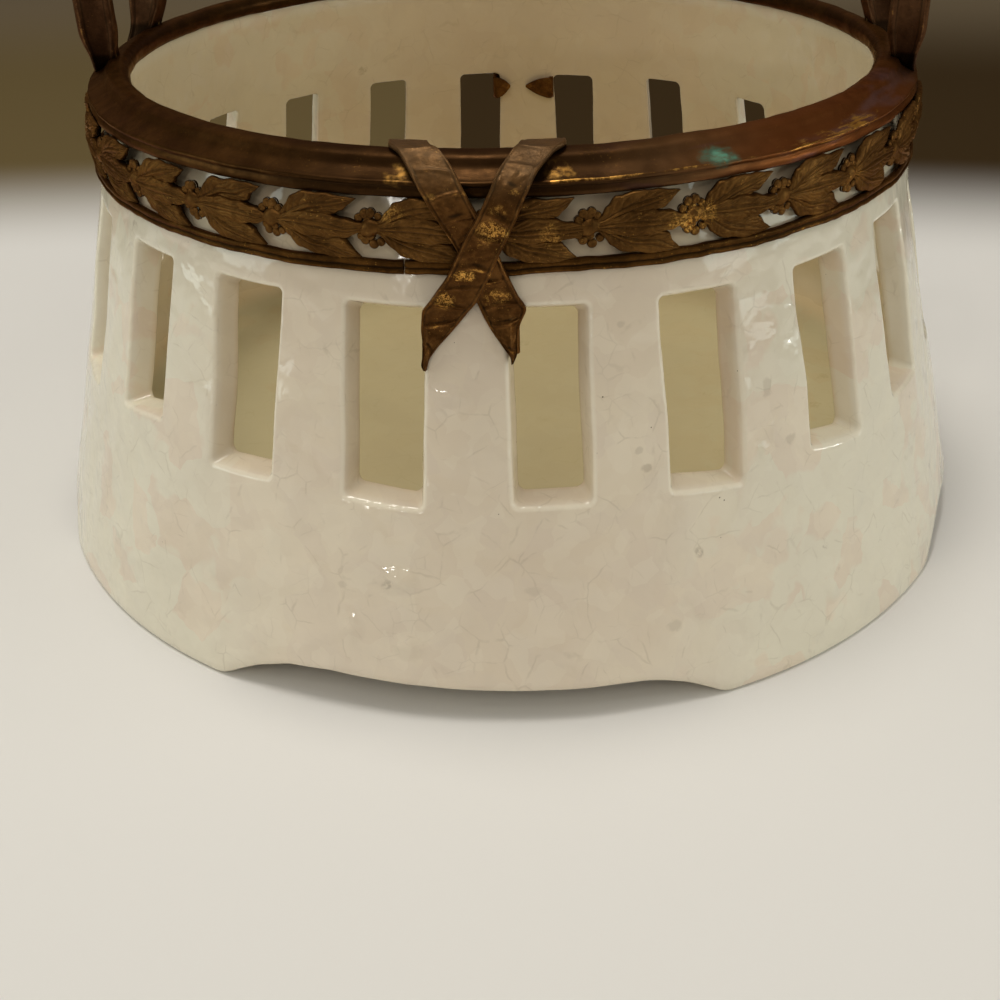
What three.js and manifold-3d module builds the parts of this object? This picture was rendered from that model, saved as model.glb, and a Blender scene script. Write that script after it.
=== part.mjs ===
// A round openwork creamware basket with a bronze gallery on its rim: one glazed
// body, a moulded rim ring on a thin bedding ring, cast lengths of laurel, a split
// lower band, two pairs of crossed ribbons that grip the wall, and two ring handles.
// Millimetres, +Z up. The front, where the first ribbons cross, faces -Y.

import * as THREE from 'three';
import { mergeVertices } from 'three/addons/utils/BufferGeometryUtils.js';
import Module from 'manifold-3d';

const wasm = await Module();
wasm.setup();

// Whole object
const RIM_HEIGHT = 100;
const RIM_INNER_RADIUS = 78.4;
const FOOT_RADIUS = 106;
const GAP = 0.35; // air between two pieces that touch on the real object

// Wall of the body: its outer radius falls with height along a slightly hollow line
const WALL_SLOPE = 0.262;
const WALL_HOLLOW = 0.00019;
const WALL_THICKNESS = 5.4;
const WALL_TOP = RIM_HEIGHT - 3.6;
const TOP_THICKNESS = 3.2;
const FLOOR_TOP = 15;
const FLOOR_UNDERSIDE = 9.5;
const FOOT_INNER_RADIUS = 100.6;
const WALL_SEGMENTS = 60;

// Openings through the wall, narrower inside than outside
const OPENINGS = 20;
const OPENING_OUTER = { width: 16, bottom: 40.9, top: 75.7, corner: 1.6 };
const OPENING_INNER = { width: 11.4, bottom: 41.9, top: 72.2 };

// Arches between the feet
const ARCH_HALF_WIDTH = 49.6;
const ARCH_HEIGHT = 7.1;

// Bronze mount
const MOULDING_SEGMENTS = 60;
const BAND = { inner: 86.45, outer: 87.4, bottom: 80.9, top: 83.3, joint: -6.5 };
const FRIEZE = { back: 86.3, front: 87.9, bottom: 83.65, top: 93.45, stem: 88.75 };
const SPRIGS = 30;
const FRIEZE_LENGTHS = 6;
const FIRST_SPRIG = 2; // degrees to the right of the front
const SPRIG_PITCH = 18.14; // millimetres along the frieze
const CUT_BEFORE_SPRIG = 1.75; // degrees from where a cast length begins to its first stem
const JOINT_GAP = 0.12; // degrees left on each side of a joint in the mount
const RIBBON_THICKNESS = 1.1;
const RIBBON_TOP = 100.1; // height where the ribbons' front faces turn in over the rim
const CLASP_REACH = { under: 2.6, over: 5.2 }; // degrees along the inner face of a post
const RIVET = { radius: 0.6, height: 82.1, angle: -0.4 };

// Ring handles
const HANDLE = { radius: 81.4, centreHeight: RIM_HEIGHT + 10.5, inner: 15.5, outer: 20.5 };
const HANDLE_WIDTH_AT_FOOT = 6;
const HANDLE_WIDTH = 8.4;
const SCREW_OFFSET = 15.5; // from the middle of the handle, along the rim
const SCREW_RADIUS = 0.9;
const SCREW_HEAD_RADIUS = 1.6;

const toRadians = THREE.MathUtils.degToRad;
const lerp = THREE.MathUtils.lerp;

const glaze = new THREE.MeshStandardMaterial({ color: 0xd8cdb2, roughness: 0.2, metalness: 0 });
const bronze = new THREE.MeshStandardMaterial({ color: 0x5b3f27, roughness: 0.45, metalness: 0.85 });
const wornBronze = new THREE.MeshStandardMaterial({ color: 0x6a4a2c, roughness: 0.4, metalness: 0.85 });
const mastic = new THREE.MeshStandardMaterial({ color: 0xb9ae95, roughness: 0.9, metalness: 0 });
const brass = new THREE.MeshStandardMaterial({ color: 0x8c6f3c, roughness: 0.4, metalness: 0.9 });

// A point given by its radius, its angle in degrees from the front and its height
function polar(radius, degrees, height) {
  const angle = toRadians(degrees);
  return [radius * Math.sin(angle), -radius * Math.cos(angle), height];
}

// Closes a geometry's seams and turns its faces outward
function closed(geometry) {
  geometry.deleteAttribute('normal');
  geometry.deleteAttribute('uv');
  const merged = mergeVertices(geometry, 1e-4);
  const p = merged.attributes.position;
  const index = merged.index.array;
  const [a, b, c] = [new THREE.Vector3(), new THREE.Vector3(), new THREE.Vector3()];
  const triangles = [];
  let volume = 0;
  for (let i = 0; i < index.length; i += 3) {
    const [i0, i1, i2] = [index[i], index[i + 1], index[i + 2]];
    if (i0 === i1 || i1 === i2 || i2 === i0) continue;
    a.fromBufferAttribute(p, i0);
    b.fromBufferAttribute(p, i1);
    c.fromBufferAttribute(p, i2);
    volume += a.dot(b.cross(c));
    triangles.push(i0, i1, i2);
  }
  if (volume < 0) triangles.reverse();
  merged.setIndex(triangles);
  return merged;
}

function solid(geometry) {
  const merged = closed(geometry);
  return new wasm.Manifold(new wasm.Mesh({
    numProp: 3,
    vertProperties: new Float32Array(merged.attributes.position.array),
    triVerts: new Uint32Array(merged.index.array),
  }));
}

function geometryOf(manifold) {
  const result = manifold.getMesh();
  const geometry = new THREE.BufferGeometry();
  geometry.setAttribute('position', new THREE.BufferAttribute(result.vertProperties, 3));
  geometry.setIndex(new THREE.BufferAttribute(result.triVerts, 1));
  return geometry;
}

function piece(name, manifold, material) {
  const mesh = new THREE.Mesh(geometryOf(manifold), material);
  mesh.name = name;
  return mesh;
}

// Moves every vertex of a geometry to where place(x, y, z) says
function mapped(geometry, place) {
  const p = geometry.attributes.position;
  for (let i = 0; i < p.count; i += 1) {
    p.setXYZ(i, ...place(p.getX(i), p.getY(i), p.getZ(i)));
  }
  return geometry;
}

function polygon(points) {
  return new THREE.Shape(points.map(([x, y]) => new THREE.Vector2(x, y)));
}

// A closed section of [radius, height] points turned through a full circle
function ring(section, segments) {
  const points = [...section, section[0]].map(([r, z]) => new THREE.Vector2(r, z));
  return solid(new THREE.LatheGeometry(points, segments).rotateX(Math.PI / 2));
}

// The same section swept from one angle to another, with flat ends
function ringPart(section, from, to, steps) {
  const options = { depth: 1, steps, bevelEnabled: false };
  const bar = new THREE.ExtrudeGeometry(polygon(section), options);
  return solid(mapped(bar, (r, z, t) => polar(r, lerp(from, to, t), z)));
}

function radialPin(radius, from, to, degrees, height) {
  const pin = new THREE.CylinderGeometry(radius, radius, to - from, 12);
  pin.translate(0, -(from + to) / 2, 0);
  pin.rotateZ(toRadians(degrees));
  pin.translate(0, 0, height);
  return solid(pin);
}

function uprightPin(radius, from, to, x, y) {
  const pin = new THREE.CylinderGeometry(radius, radius, to - from, 12);
  return solid(pin.rotateX(Math.PI / 2).translate(x, y, (from + to) / 2));
}

function outerRadius(height) {
  return FOOT_RADIUS - WALL_SLOPE * height + WALL_HOLLOW * height * height;
}

function wallThickness(height) {
  const towardsTop = THREE.MathUtils.smoothstep(height, OPENING_OUTER.top, WALL_TOP);
  return lerp(WALL_THICKNESS, TOP_THICKNESS, towardsTop);
}

function innerRadius(height) {
  return outerRadius(height) - wallThickness(height);
}

// The body turned solid, before its openings and arches are cut
function turnedBody() {
  const outside = [32, 84].map((z) => [outerRadius(z), z]);
  const inside = [86, 26].map((z) => [innerRadius(z), z]);
  const profile = [
    [0, FLOOR_UNDERSIDE],
    [93, FLOOR_UNDERSIDE],
    [98.4, 6.6],
    [FOOT_INNER_RADIUS, 0],
    [FOOT_RADIUS - 0.9, 0],
    [FOOT_RADIUS - 0.25, 0.9],
    ...outside,
    [outerRadius(WALL_TOP) - 0.1, WALL_TOP - 0.9],
    [outerRadius(WALL_TOP) - 0.9, WALL_TOP],
    [innerRadius(WALL_TOP), WALL_TOP],
    ...inside,
    [92.3, 18.6],
    [86, FLOOR_TOP],
    [0, FLOOR_TOP],
  ].map(([r, z]) => new THREE.Vector2(r, z));
  return solid(new THREE.LatheGeometry(profile, WALL_SEGMENTS).rotateX(Math.PI / 2));
}

// A tapered plug in the shape of one opening, a little longer than the wall is thick
function openingPlug(degrees) {
  const { width, bottom, top, corner } = OPENING_OUTER;
  const height = top - bottom;
  const outline = new THREE.Shape();
  outline.moveTo(-width / 2 + corner, 0);
  outline.lineTo(width / 2 - corner, 0);
  outline.absarc(width / 2 - corner, corner, corner, -Math.PI / 2, 0);
  outline.lineTo(width / 2, height - corner);
  outline.absarc(width / 2 - corner, height - corner, corner, 0, Math.PI / 2);
  outline.lineTo(-width / 2 + corner, height);
  outline.absarc(-width / 2 + corner, height - corner, corner, Math.PI / 2, Math.PI);
  outline.lineTo(-width / 2, corner);
  outline.absarc(-width / 2 + corner, corner, corner, Math.PI, Math.PI * 1.5);
  const options = { depth: 1, steps: 1, bevelEnabled: false, curveSegments: 1 };
  const plug = new THREE.ExtrudeGeometry(outline, options);
  return solid(mapped(plug, (x, y, t) => {
    const depth = lerp(-0.5, 1.5, t);
    const sideways = x * lerp(1, OPENING_INNER.width / width, depth);
    const low = lerp(bottom, OPENING_INNER.bottom, depth);
    const high = lerp(top, OPENING_INNER.top, depth);
    const z = lerp(low, high, y / height);
    const radius = outerRadius(z) - depth * WALL_THICKNESS;
    const [cx, cy] = polar(radius, degrees, z);
    const along = toRadians(degrees);
    return [cx + sideways * Math.cos(along), cy + sideways * Math.sin(along), z];
  }));
}

// The space under one arch, from outside the wall to inside the foot ring
function archPlug(degrees) {
  const half = new THREE.CubicBezierCurve(
    new THREE.Vector2(ARCH_HALF_WIDTH, 0),
    new THREE.Vector2(ARCH_HALF_WIDTH - 6, 3.6),
    new THREE.Vector2(ARCH_HALF_WIDTH - 9, ARCH_HEIGHT),
    new THREE.Vector2(ARCH_HALF_WIDTH - 21, ARCH_HEIGHT),
  );
  const right = half.getPoints(6);
  const left = right.map((p) => new THREE.Vector2(-p.x, p.y)).reverse();
  const below = 2;
  const outline = new THREE.Shape([
    new THREE.Vector2(ARCH_HALF_WIDTH, -below),
    ...right,
    ...left,
    new THREE.Vector2(-ARCH_HALF_WIDTH, -below),
  ]);
  const plug = new THREE.ExtrudeGeometry(outline, { depth: 60, steps: 1, bevelEnabled: false });
  plug.rotateX(Math.PI / 2);
  plug.translate(0, -FOOT_RADIUS + 50, 0);
  plug.rotateZ(toRadians(degrees));
  return solid(plug);
}

function makeBody() {
  let body = turnedBody();
  for (let i = 0; i < OPENINGS; i += 1) {
    body = body.subtract(openingPlug((i + 0.5) * 360 / OPENINGS));
  }
  for (const degrees of [0, 90, 180, 270]) {
    body = body.subtract(archPlug(degrees));
  }
  return piece('creamware_body', body, glaze);
}

// A thin bed of mastic between the top of the wall and the bronze
function makeBedding() {
  const bottom = WALL_TOP + GAP;
  const top = bottom + 0.6;
  const section = [[79.9, bottom], [82, bottom], [82, top], [79.9, top]];
  return piece('bedding_ring', ring(section, 45), mastic);
}

// Where the four handle screws stand: [x, y] for each
function screwPlaces() {
  const offset = THREE.MathUtils.radToDeg(SCREW_OFFSET / HANDLE.radius);
  const places = {};
  for (const [side, degrees] of [['left', -90], ['right', 90]]) {
    const sign = Math.sign(degrees);
    places[`${side}_front`] = polar(HANDLE.radius, degrees - sign * offset, 0);
    places[`${side}_back`] = polar(HANDLE.radius, degrees + sign * offset, 0);
  }
  return places;
}

function makeMoulding() {
  const section = [
    [RIM_INNER_RADIUS, 95.9],
    [RIM_INNER_RADIUS, 99.5],
    [79.2, RIM_HEIGHT],
    [82.2, 99.4],
    [83.9, 97.3],
    [86.2, 96],
    [86.4, 93.8],
    [84, 93.8],
    [83.2, 97.65],
    [79, 97.65],
    [79, 95.9],
  ];
  let moulding = ring(section, MOULDING_SEGMENTS);
  for (const [x, y] of Object.values(screwPlaces())) {
    moulding = moulding.subtract(uprightPin(SCREW_RADIUS + GAP, 95, 102, x, y));
    moulding = moulding.subtract(uprightPin(SCREW_HEAD_RADIUS + GAP, 95, 98.5, x, y));
  }
  return piece('rim_moulding', moulding, bronze);
}

// The band round the foot of the laurel, in two lengths, with a joint seen at the front
function makeBandHalf(name, from, to) {
  const { inner, outer, bottom, top } = BAND;
  const section = [
    [inner, bottom],
    [outer, bottom + 0.3],
    [outer, 81.8],
    [outer - 0.35, 82.1],
    [outer - 0.1, top],
    [inner, top],
  ];
  let band = ringPart(section, from + JOINT_GAP, to - JOINT_GAP, 40);
  for (const turn of [0, 180]) {
    band = band.subtract(rivetHole().rotate([0, 0, turn]));
  }
  return piece(name, band, bronze);
}

function rivetHole() {
  return radialPin(RIVET.radius + GAP, BAND.inner - 3, BAND.outer + 5, RIVET.angle, RIVET.height);
}

// One sprig of laurel in outline: the stem, three leaves and two pairs of berries,
// as [distance along the frieze, height]
function sprigOutline() {
  const { stem, bottom, top } = FRIEZE;
  const lowerBerries = [[-2, stem - 1], [-1.2, stem - 2.3], [0.9, stem - 2.4], [1.6, stem - 1.1]];
  const lowerLeaf = [
    [3.4, 86.6],
    [5.2, bottom + 0.8],
    [8, bottom],
    [15.6, bottom],
    [13.5, 86.7],
  ];
  const middleLeaf = [[SPRIG_PITCH + 0.5, 88.3], [SPRIG_PITCH + 0.5, 89.2], [15.6, 89.9]];
  const upperLeaf = [
    [12.9, 90.7],
    [15.2, top],
    [7.5, top],
    [4.6, top - 0.6],
    [3, 91.6],
    [1.9, stem + 1],
  ];
  const upperBerries = [[1.2, stem + 2.1], [-1.4, stem + 2.1], [-2.2, stem + 0.9]];
  return [
    [-0.6, stem - 0.5],
    ...lowerBerries,
    ...lowerLeaf,
    ...middleLeaf,
    ...upperLeaf,
    ...upperBerries,
    [-0.6, stem + 0.5],
  ];
}

function sprig(start) {
  const options = { depth: FRIEZE.front - FRIEZE.back, steps: 1, bevelEnabled: false };
  const flat = new THREE.ExtrudeGeometry(polygon(sprigOutline()), options);
  const degreesPerMillimetre = 360 / SPRIGS / SPRIG_PITCH;
  return solid(mapped(flat, (u, z, t) => {
    return polar(FRIEZE.back + t, start + u * degreesPerMillimetre, z);
  }));
}

// Cast lengths of laurel, each cut off clean where the next one begins
function makeFriezeLength(index) {
  const pitch = 360 / SPRIGS;
  const perLength = SPRIGS / FRIEZE_LENGTHS;
  const start = FIRST_SPRIG + index * perLength * pitch;
  let laurel = sprig(start);
  for (let i = -1; i <= perLength; i += 1) {
    if (i !== 0) laurel = laurel.add(sprig(start + i * pitch));
  }
  const [back, front] = [FRIEZE.back - 2, FRIEZE.front + 2];
  const [bottom, top] = [FRIEZE.bottom - 1, FRIEZE.top + 1];
  const section = [[back, bottom], [front, bottom], [front, top], [back, top]];
  const from = start - CUT_BEFORE_SPRIG;
  const sector = ringPart(section, from + JOINT_GAP, from + perLength * pitch - JOINT_GAP, 16);
  return piece(`laurel_frieze_${index + 1}`, laurel.intersect(sector), wornBronze);
}

// The line that a ribbon lies on, as [radius, height] with its distance measured so
// that it equals the height on the outside of the mount and grows past the top, in
// over the rim and down inside it
function ribbonLine(h) {
  const offWall = 76;
  const clear = GAP + 0.1;
  if (h <= offWall) return [outerRadius(h) + clear, h];
  const fall = [
    [offWall, outerRadius(offWall) + clear],
    [80.7, BAND.outer + 0.4],
    [83.5, FRIEZE.front + 0.4],
    [93, FRIEZE.front + 0.4],
    [96.4, 86.85],
    [RIBBON_TOP, 82.75],
  ];
  for (let i = 1; i < fall.length; i += 1) {
    const [[h0, r0], [h1, r1]] = [fall[i - 1], fall[i]];
    if (h <= h1) return [lerp(r0, r1, (h - h0) / (h1 - h0)), h];
  }
  const over = [[82.75, RIBBON_TOP], [79.9, 100.65], [78.6, 100.5], [78, 99.5], [78, 96.8]];
  let rest = h - RIBBON_TOP;
  for (let i = 1; i < over.length; i += 1) {
    const [[r0, z0], [r1, z1]] = [over[i - 1], over[i]];
    const length = Math.hypot(r1 - r0, z1 - z0);
    if (rest <= length || i === over.length - 1) {
      return [lerp(r0, r1, rest / length), lerp(z0, z1, rest / length)];
    }
    rest -= length;
  }
  return over[over.length - 1];
}

// A point off the ribbon's line by some distance, square to it
function ribbonPoint(h, distance) {
  const step = 0.4;
  const [r, z] = ribbonLine(h);
  const [r0, z0] = ribbonLine(h - step);
  const [r1, z1] = ribbonLine(h + step);
  const length = Math.hypot(r1 - r0, z1 - z0);
  return [r + distance * (z1 - z0) / length, z - distance * (r1 - r0) / length];
}

// Both edges of each ribbon from its inner end to its tip: [h, angle] left and right
const RIBBON_ROWS = {
  under: [
    [107.4, -9.4, 107.4, -4.9],
    [102.5, -8.9, 102.5, -3.9],
    [100.1, -7.2, 100.6, -2.4],
    [97, -5.2, 97.6, -0.5],
    [93.1, -3.3, 93.6, 1.25],
    [89.1, -1.6, 89.4, 2.85],
    [84.8, -0.1, 85, 4.3],
    [80.6, 0.85, 81, 5.4],
    [77.3, 1.7, 77.3, 6.4],
    [74.4, 2.6, 74.9, 6.7],
    [70.4, 3.8, 71, 4.7],
    [66.6, 4.3, 66.8, 4.7],
  ],
  over: [
    [107.4, 7.2, 107.4, 12.5],
    [102.5, 6.4, 102.5, 12],
    [100.6, 5.6, 100.1, 10.3],
    [97.6, 4.1, 97, 8.1],
    [93.6, 2.5, 93.1, 6.4],
    [89.4, 0.85, 88.9, 5.1],
    [85, -0.5, 84.6, 3.75],
    [81.2, -1.85, 80.6, 2.6],
    [77.6, -3.5, 77.2, 1.5],
    [74.5, -4.6, 73.9, -0.4],
    [70.6, -4.6, 70, -2.2],
    [65.7, -4.6, 65.9, -3.9],
  ],
};

// How far the upper ribbon stands off its line to pass over the lower one
function crossingLift(h) {
  const rise = THREE.MathUtils.smoothstep(h, 72.5, 77.5);
  const fall = THREE.MathUtils.smoothstep(h, 96, 100);
  return (RIBBON_THICKNESS + GAP) * rise * (1 - fall);
}

function ribbonStrip(rows, lift) {
  const edge = (column) => new THREE.SplineCurve(
    rows.map((row) => new THREE.Vector2(row[column], row[column + 1])),
  );
  const [left, right] = [edge(0), edge(2)];
  const strip = new THREE.BoxGeometry(1, 1, 1, 2, 22, 1);
  return solid(mapped(strip, (x, y, t) => {
    const along = (0.5 - y);
    const a = left.getPoint(along);
    const b = right.getPoint(along);
    const h = lerp(a.x, b.x, x + 0.5);
    const degrees = lerp(a.y, b.y, x + 0.5);
    const [r, z] = ribbonPoint(h, lift(h) + (t + 0.5) * RIBBON_THICKNESS);
    return polar(r, degrees, z);
  }));
}

// The end of a ribbon bent round the edge of a post: along the outside, through the
// opening and back over the inner face, where it ends in a point
function ribbonClasp(side, reach) {
  const thin = RIBBON_THICKNESS;
  const clear = GAP + 0.1;
  const strip = new THREE.BoxGeometry(1, 1, 1, 10, 1, 1);
  // Along the bend: [how far, angle, depth from the outer face, bottom, top]
  const bend = [
    [0, 2.9, -clear, 68.6, 73.6],
    [0.14, 3.9, -clear, 66.4, 73.9],
    [0.2, 4.2, -0.2, 66.1, 73.6],
    [0.3, 4.5, 1.4, 65.7, 72.6],
    [0.5, 5.4, WALL_THICKNESS + 0.1, 64.2, 70.2],
    [0.6, 5.15, WALL_THICKNESS + clear, 63.8, 69.8],
    [1, 5.15 - reach, WALL_THICKNESS + clear + 0.1, 66.4, 67.2],
  ];
  const at = (f) => {
    const i = Math.min(bend.findIndex((b) => b[0] > f - 1e-6), bend.length - 1);
    const j = Math.max(i, 1);
    const [from, to] = [bend[j - 1], bend[j]];
    const t = (f - from[0]) / (to[0] - from[0]);
    return from.map((value, k) => lerp(value, to[k], t));
  };
  return solid(mapped(strip, (x, y, t) => {
    const f = x + 0.5;
    const [, degrees, depth, low, high] = at(f);
    const before = at(Math.max(f - 0.03, 0));
    const after = at(Math.min(f + 0.03, 1));
    const z = lerp(low, high, y + 0.5);
    const radius = outerRadius(z) - depth;
    const sideways = toRadians(after[1] - before[1]) * radius;
    const inwards = after[2] - before[2];
    const length = Math.hypot(sideways, inwards);
    const off = (t + 0.5) * thin;
    const turned = THREE.MathUtils.radToDeg(off * inwards / length / radius);
    return polar(radius + off * sideways / length, side * (degrees + turned), z);
  }));
}

// The ribbon that lies below at the crossing; its tail goes to the right
function makeUnderRibbon(place, turn) {
  const strip = ribbonStrip(RIBBON_ROWS.under, () => 0);
  const ribbon = strip.add(ribbonClasp(1, CLASP_REACH.under));
  return piece(`ribbon_${place}_under`, ribbon.rotate([0, 0, turn]), wornBronze);
}

// The ribbon that lies on top at the crossing; its tail goes to the left
function makeOverRibbon(place, turn) {
  const strip = ribbonStrip(RIBBON_ROWS.over, crossingLift);
  const ribbon = strip.add(ribbonClasp(-1, CLASP_REACH.over)).subtract(rivetHole());
  return piece(`ribbon_${place}_over`, ribbon.rotate([0, 0, turn]), wornBronze);
}

// A flush rivet through the upper ribbon into the lower band
function makeRivet(place, turn) {
  const outside = BAND.outer + 0.6 + crossingLift(RIVET.height) + RIBBON_THICKNESS;
  const rivet = radialPin(RIVET.radius, BAND.inner - 0.1, outside, RIVET.angle, RIVET.height);
  return piece(`ribbon_rivet_${place}`, rivet.rotate([0, 0, turn]), brass);
}

// The space that the rim fills, a little larger, so that the handle's feet fit on it
function rimSpace() {
  return ring([
    [70, 80],
    [78.05, 80],
    [78.05, 99.6],
    [78.6, 100.3],
    [79.8, RIM_HEIGHT + GAP],
    [82.4, 99.7],
    [83.3, 98.6],
    [84.6, 97.35],
    [86.4, 96.35],
    [90, 96.35],
    [90, 79],
    [70, 79],
  ], MOULDING_SEGMENTS);
}

// A ring of metal strap standing on the rim and bent to the rim's curve
function makeHandle(name, degrees) {
  const { radius, centreHeight, inner, outer } = HANDLE;
  const round = 0.9;
  const halfThickness = (outer - inner) / 2;
  const section = polygon([
    [-0.5, -halfThickness + round],
    [-0.38, -halfThickness],
    [0.38, -halfThickness],
    [0.5, -halfThickness + round],
    [0.5, halfThickness - round],
    [0.38, halfThickness],
    [-0.38, halfThickness],
    [-0.5, halfThickness - round],
  ]);
  const strap = new THREE.ExtrudeGeometry(section, { depth: 1, steps: 28, bevelEnabled: false });
  const furthest = 146;
  const bent = mapped(strap, (across, up, t) => {
    const turn = toRadians(lerp(-furthest, furthest, t));
    const distance = (inner + outer) / 2 + up;
    const z = centreHeight + distance * Math.cos(turn);
    const grown = THREE.MathUtils.smoothstep(z, RIM_HEIGHT - 1, RIM_HEIGHT + 6);
    const width = lerp(HANDLE_WIDTH_AT_FOOT, HANDLE_WIDTH, grown);
    const along = THREE.MathUtils.radToDeg(distance * Math.sin(turn) / radius);
    return polar(radius + across * width, degrees + along, z);
  });
  let handle = solid(bent).subtract(rimSpace());
  for (const [x, y] of Object.values(screwPlaces())) {
    handle = handle.subtract(uprightPin(SCREW_RADIUS + GAP, 96, 103.6, x, y));
  }
  return piece(name, handle, bronze);
}

function makeScrew(name, [x, y]) {
  const head = uprightPin(SCREW_HEAD_RADIUS, 97.75, 98.15, x, y);
  const shank = uprightPin(SCREW_RADIUS, 98, 103.2, x, y);
  return piece(name, head.add(shank), brass);
}

const basket = new THREE.Group();
basket.name = 'creamware_basket';
basket.add(makeBody());
basket.add(makeBedding());

const mount = new THREE.Group();
mount.add(makeMoulding());
mount.add(makeBandHalf('lower_band_right', BAND.joint, BAND.joint + 180));
mount.add(makeBandHalf('lower_band_left', BAND.joint + 180, BAND.joint + 360));
for (let i = 0; i < FRIEZE_LENGTHS; i += 1) {
  mount.add(makeFriezeLength(i));
}
for (const [place, turn] of [['front', 0], ['back', 180]]) {
  mount.add(makeUnderRibbon(place, turn));
  mount.add(makeOverRibbon(place, turn));
  mount.add(makeRivet(place, turn));
}
basket.add(mount);

const handles = new THREE.Group();
handles.add(makeHandle('handle_left', -90));
handles.add(makeHandle('handle_right', 90));
for (const [place, where] of Object.entries(screwPlaces())) {
  handles.add(makeScrew(`handle_screw_${place}`, where));
}
basket.add(handles);

export default basket;
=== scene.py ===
"""A creamware basket with a bronze laurel gallery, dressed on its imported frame."""

import math

import bmesh
import bpy
import numpy as np
from mathutils import Matrix, Vector


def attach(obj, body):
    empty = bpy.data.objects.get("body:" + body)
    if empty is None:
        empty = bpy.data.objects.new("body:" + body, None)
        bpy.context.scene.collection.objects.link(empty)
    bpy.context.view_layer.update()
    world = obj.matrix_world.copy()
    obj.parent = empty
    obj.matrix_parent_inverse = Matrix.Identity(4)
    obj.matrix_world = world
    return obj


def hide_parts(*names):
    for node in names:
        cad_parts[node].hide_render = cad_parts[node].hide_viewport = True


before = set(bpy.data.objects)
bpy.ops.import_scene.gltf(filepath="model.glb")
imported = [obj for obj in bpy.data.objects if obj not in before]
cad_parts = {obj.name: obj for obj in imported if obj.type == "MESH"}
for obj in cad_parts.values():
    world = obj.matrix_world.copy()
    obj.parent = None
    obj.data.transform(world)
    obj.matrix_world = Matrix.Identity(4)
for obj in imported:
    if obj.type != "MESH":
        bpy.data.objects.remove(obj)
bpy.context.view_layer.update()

MM = 0.001

# Body, in millimetres. Angles are degrees from the front (-Y), positive towards +X.
FOOT_RADIUS = 106
WALL_SLOPE = 0.262
WALL_HOLLOW = 0.00019
WALL_THICKNESS = 5.4
TOP_THICKNESS = 3.2
WALL_TOP = 96.4
FLOOR_TOP = 15
FLOOR_UNDERSIDE = 9.5
OPENINGS = 20
SECTOR = 360 / OPENINGS
PANEL_BOTTOM = 34
PANEL_TOP = 81
COLUMNS = 32  # mesh columns of one sector of the wall
SIDE_STEPS = 40  # mesh rows up an opening's side
CORNER_STEPS = 5
MERGE = 0.0005  # points closer than this become one
OUTER_FILLET = 0.75
INNER_FILLET = 0.7
FOOT_FILLET = 0.9
# How deep the glaze lies, from 0 outside to 1: it runs yellow and green where it is deep. The same
# mark also darkens the inside, the underside and the wall behind the frieze as painted shade
JAMB_POOL_AND_SHADE = 0.12
WALL_POOL_AND_SHADE = 0.36
FLOOR_POOL_AND_SHADE = 0.78
# The wall's lower edge, in degrees from the middle of an arch
ARCH_ANGLES = [-28.0, -27.0, -25.6, -23.2, -19.5, -14.8, -6, 0,
               10, 16, 18.5, 20.6, 22.8, 25, 26.1, 27.1]
ARCH_HEIGHTS = [0, 0.9, 2.4, 4.6, 6.5, 7.1, 6.6, 6.2, 6.1, 6.0, 5.8, 5.1, 4.0, 2.1, 1.0, 0]

# Openings as cut by hand: centre, width, height of the sill at its left and right
# ends, and top. The ones that the photograph shows are measured in it.
SHOWN_OPENINGS = {
    -45: (-44.7, 14.1, 43.0, 44.6, 75.7),
    -27: (-26.9, 14.5, 40.9, 41.5, 75.9),
    -9: (-9.1, 15.0, 40.9, 40.1, 75.5),
    9: (9.27, 14.3, 40.6, 40.7, 75.5),
    27: (26.95, 15.0, 40.6, 39.2, 75.1),
    45: (45.6, 14.6, 41.1, 39.6, 74.9),
    171: (170.9, 13.5, 40.8, 40.8, 74.0),
    -171: (-171.2, 13.9, 40.8, 40.8, 74.6),
    153: (153.3, 13.0, 40.8, 40.8, 74.6),
    -153: (-153.4, 13.2, 40.8, 40.8, 74.3),
    135: (134.6, 12.2, 40.8, 40.8, 73.4),
    -135: (-135.8, 13.1, 40.8, 40.8, 74.3),
}
OPENING_WIDTH = 14.7
OPENING_BOTTOM = 40.8
OPENING_TOP = 75.5
OPENING_TAPER = 1.6
SILL_RISE = 1.0
OPENING_CORNER = 1.0
HEAD_DROP = 2.5

# Bronze mount
RIM_HEIGHT = 100
BAND_JOINT = -6.5
FRIEZE_BACK = 86.35
SPRIGS = 30
FRIEZE_LENGTHS = 6
FIRST_SPRIG = 2
SPRIG_PITCH = 18.14
RIBBON_TOP = 100.1
RIBBON_THICKNESS = 1.05
RIVET_ANGLE = -0.4
RIVET_HEIGHT = 82.1
HANDLE_RADIUS = 83.2
HANDLE_CENTRE = RIM_HEIGHT + 10.5
HANDLE_INNER = 15.5
HANDLE_OUTER = 20.5

# The photograph's camera, in millimetres and degrees
CAMERA_PLACE = (24.15, -297.47, 165.74)
CAMERA_YAW = -5.13
CAMERA_PITCH = 31.26
CAMERA_ROLL = -1.4
CAMERA_LENS = 48.76


# Small geometry helpers

def lerp(a, b, t):
    return a + (b - a) * t


def outer_radius(height):
    """Radius of the body's outside at a height."""
    return FOOT_RADIUS - WALL_SLOPE * height + WALL_HOLLOW * height * height


def smoothstep(value, low, high):
    t = np.clip((value - low) / (high - low), 0, 1)
    return t * t * (3 - 2 * t)


def quarter(count):
    """Angles of a quarter turn, in radians."""
    return np.linspace(0, math.pi / 2, count)


def hump(value, centre, width):
    return np.exp(-((value - centre) / width) ** 2)


def polar(radius, degrees, height):
    angle = np.radians(degrees)
    return np.stack(np.broadcast_arrays(
        radius * np.sin(angle), -radius * np.cos(angle), height), axis=-1)


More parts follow.
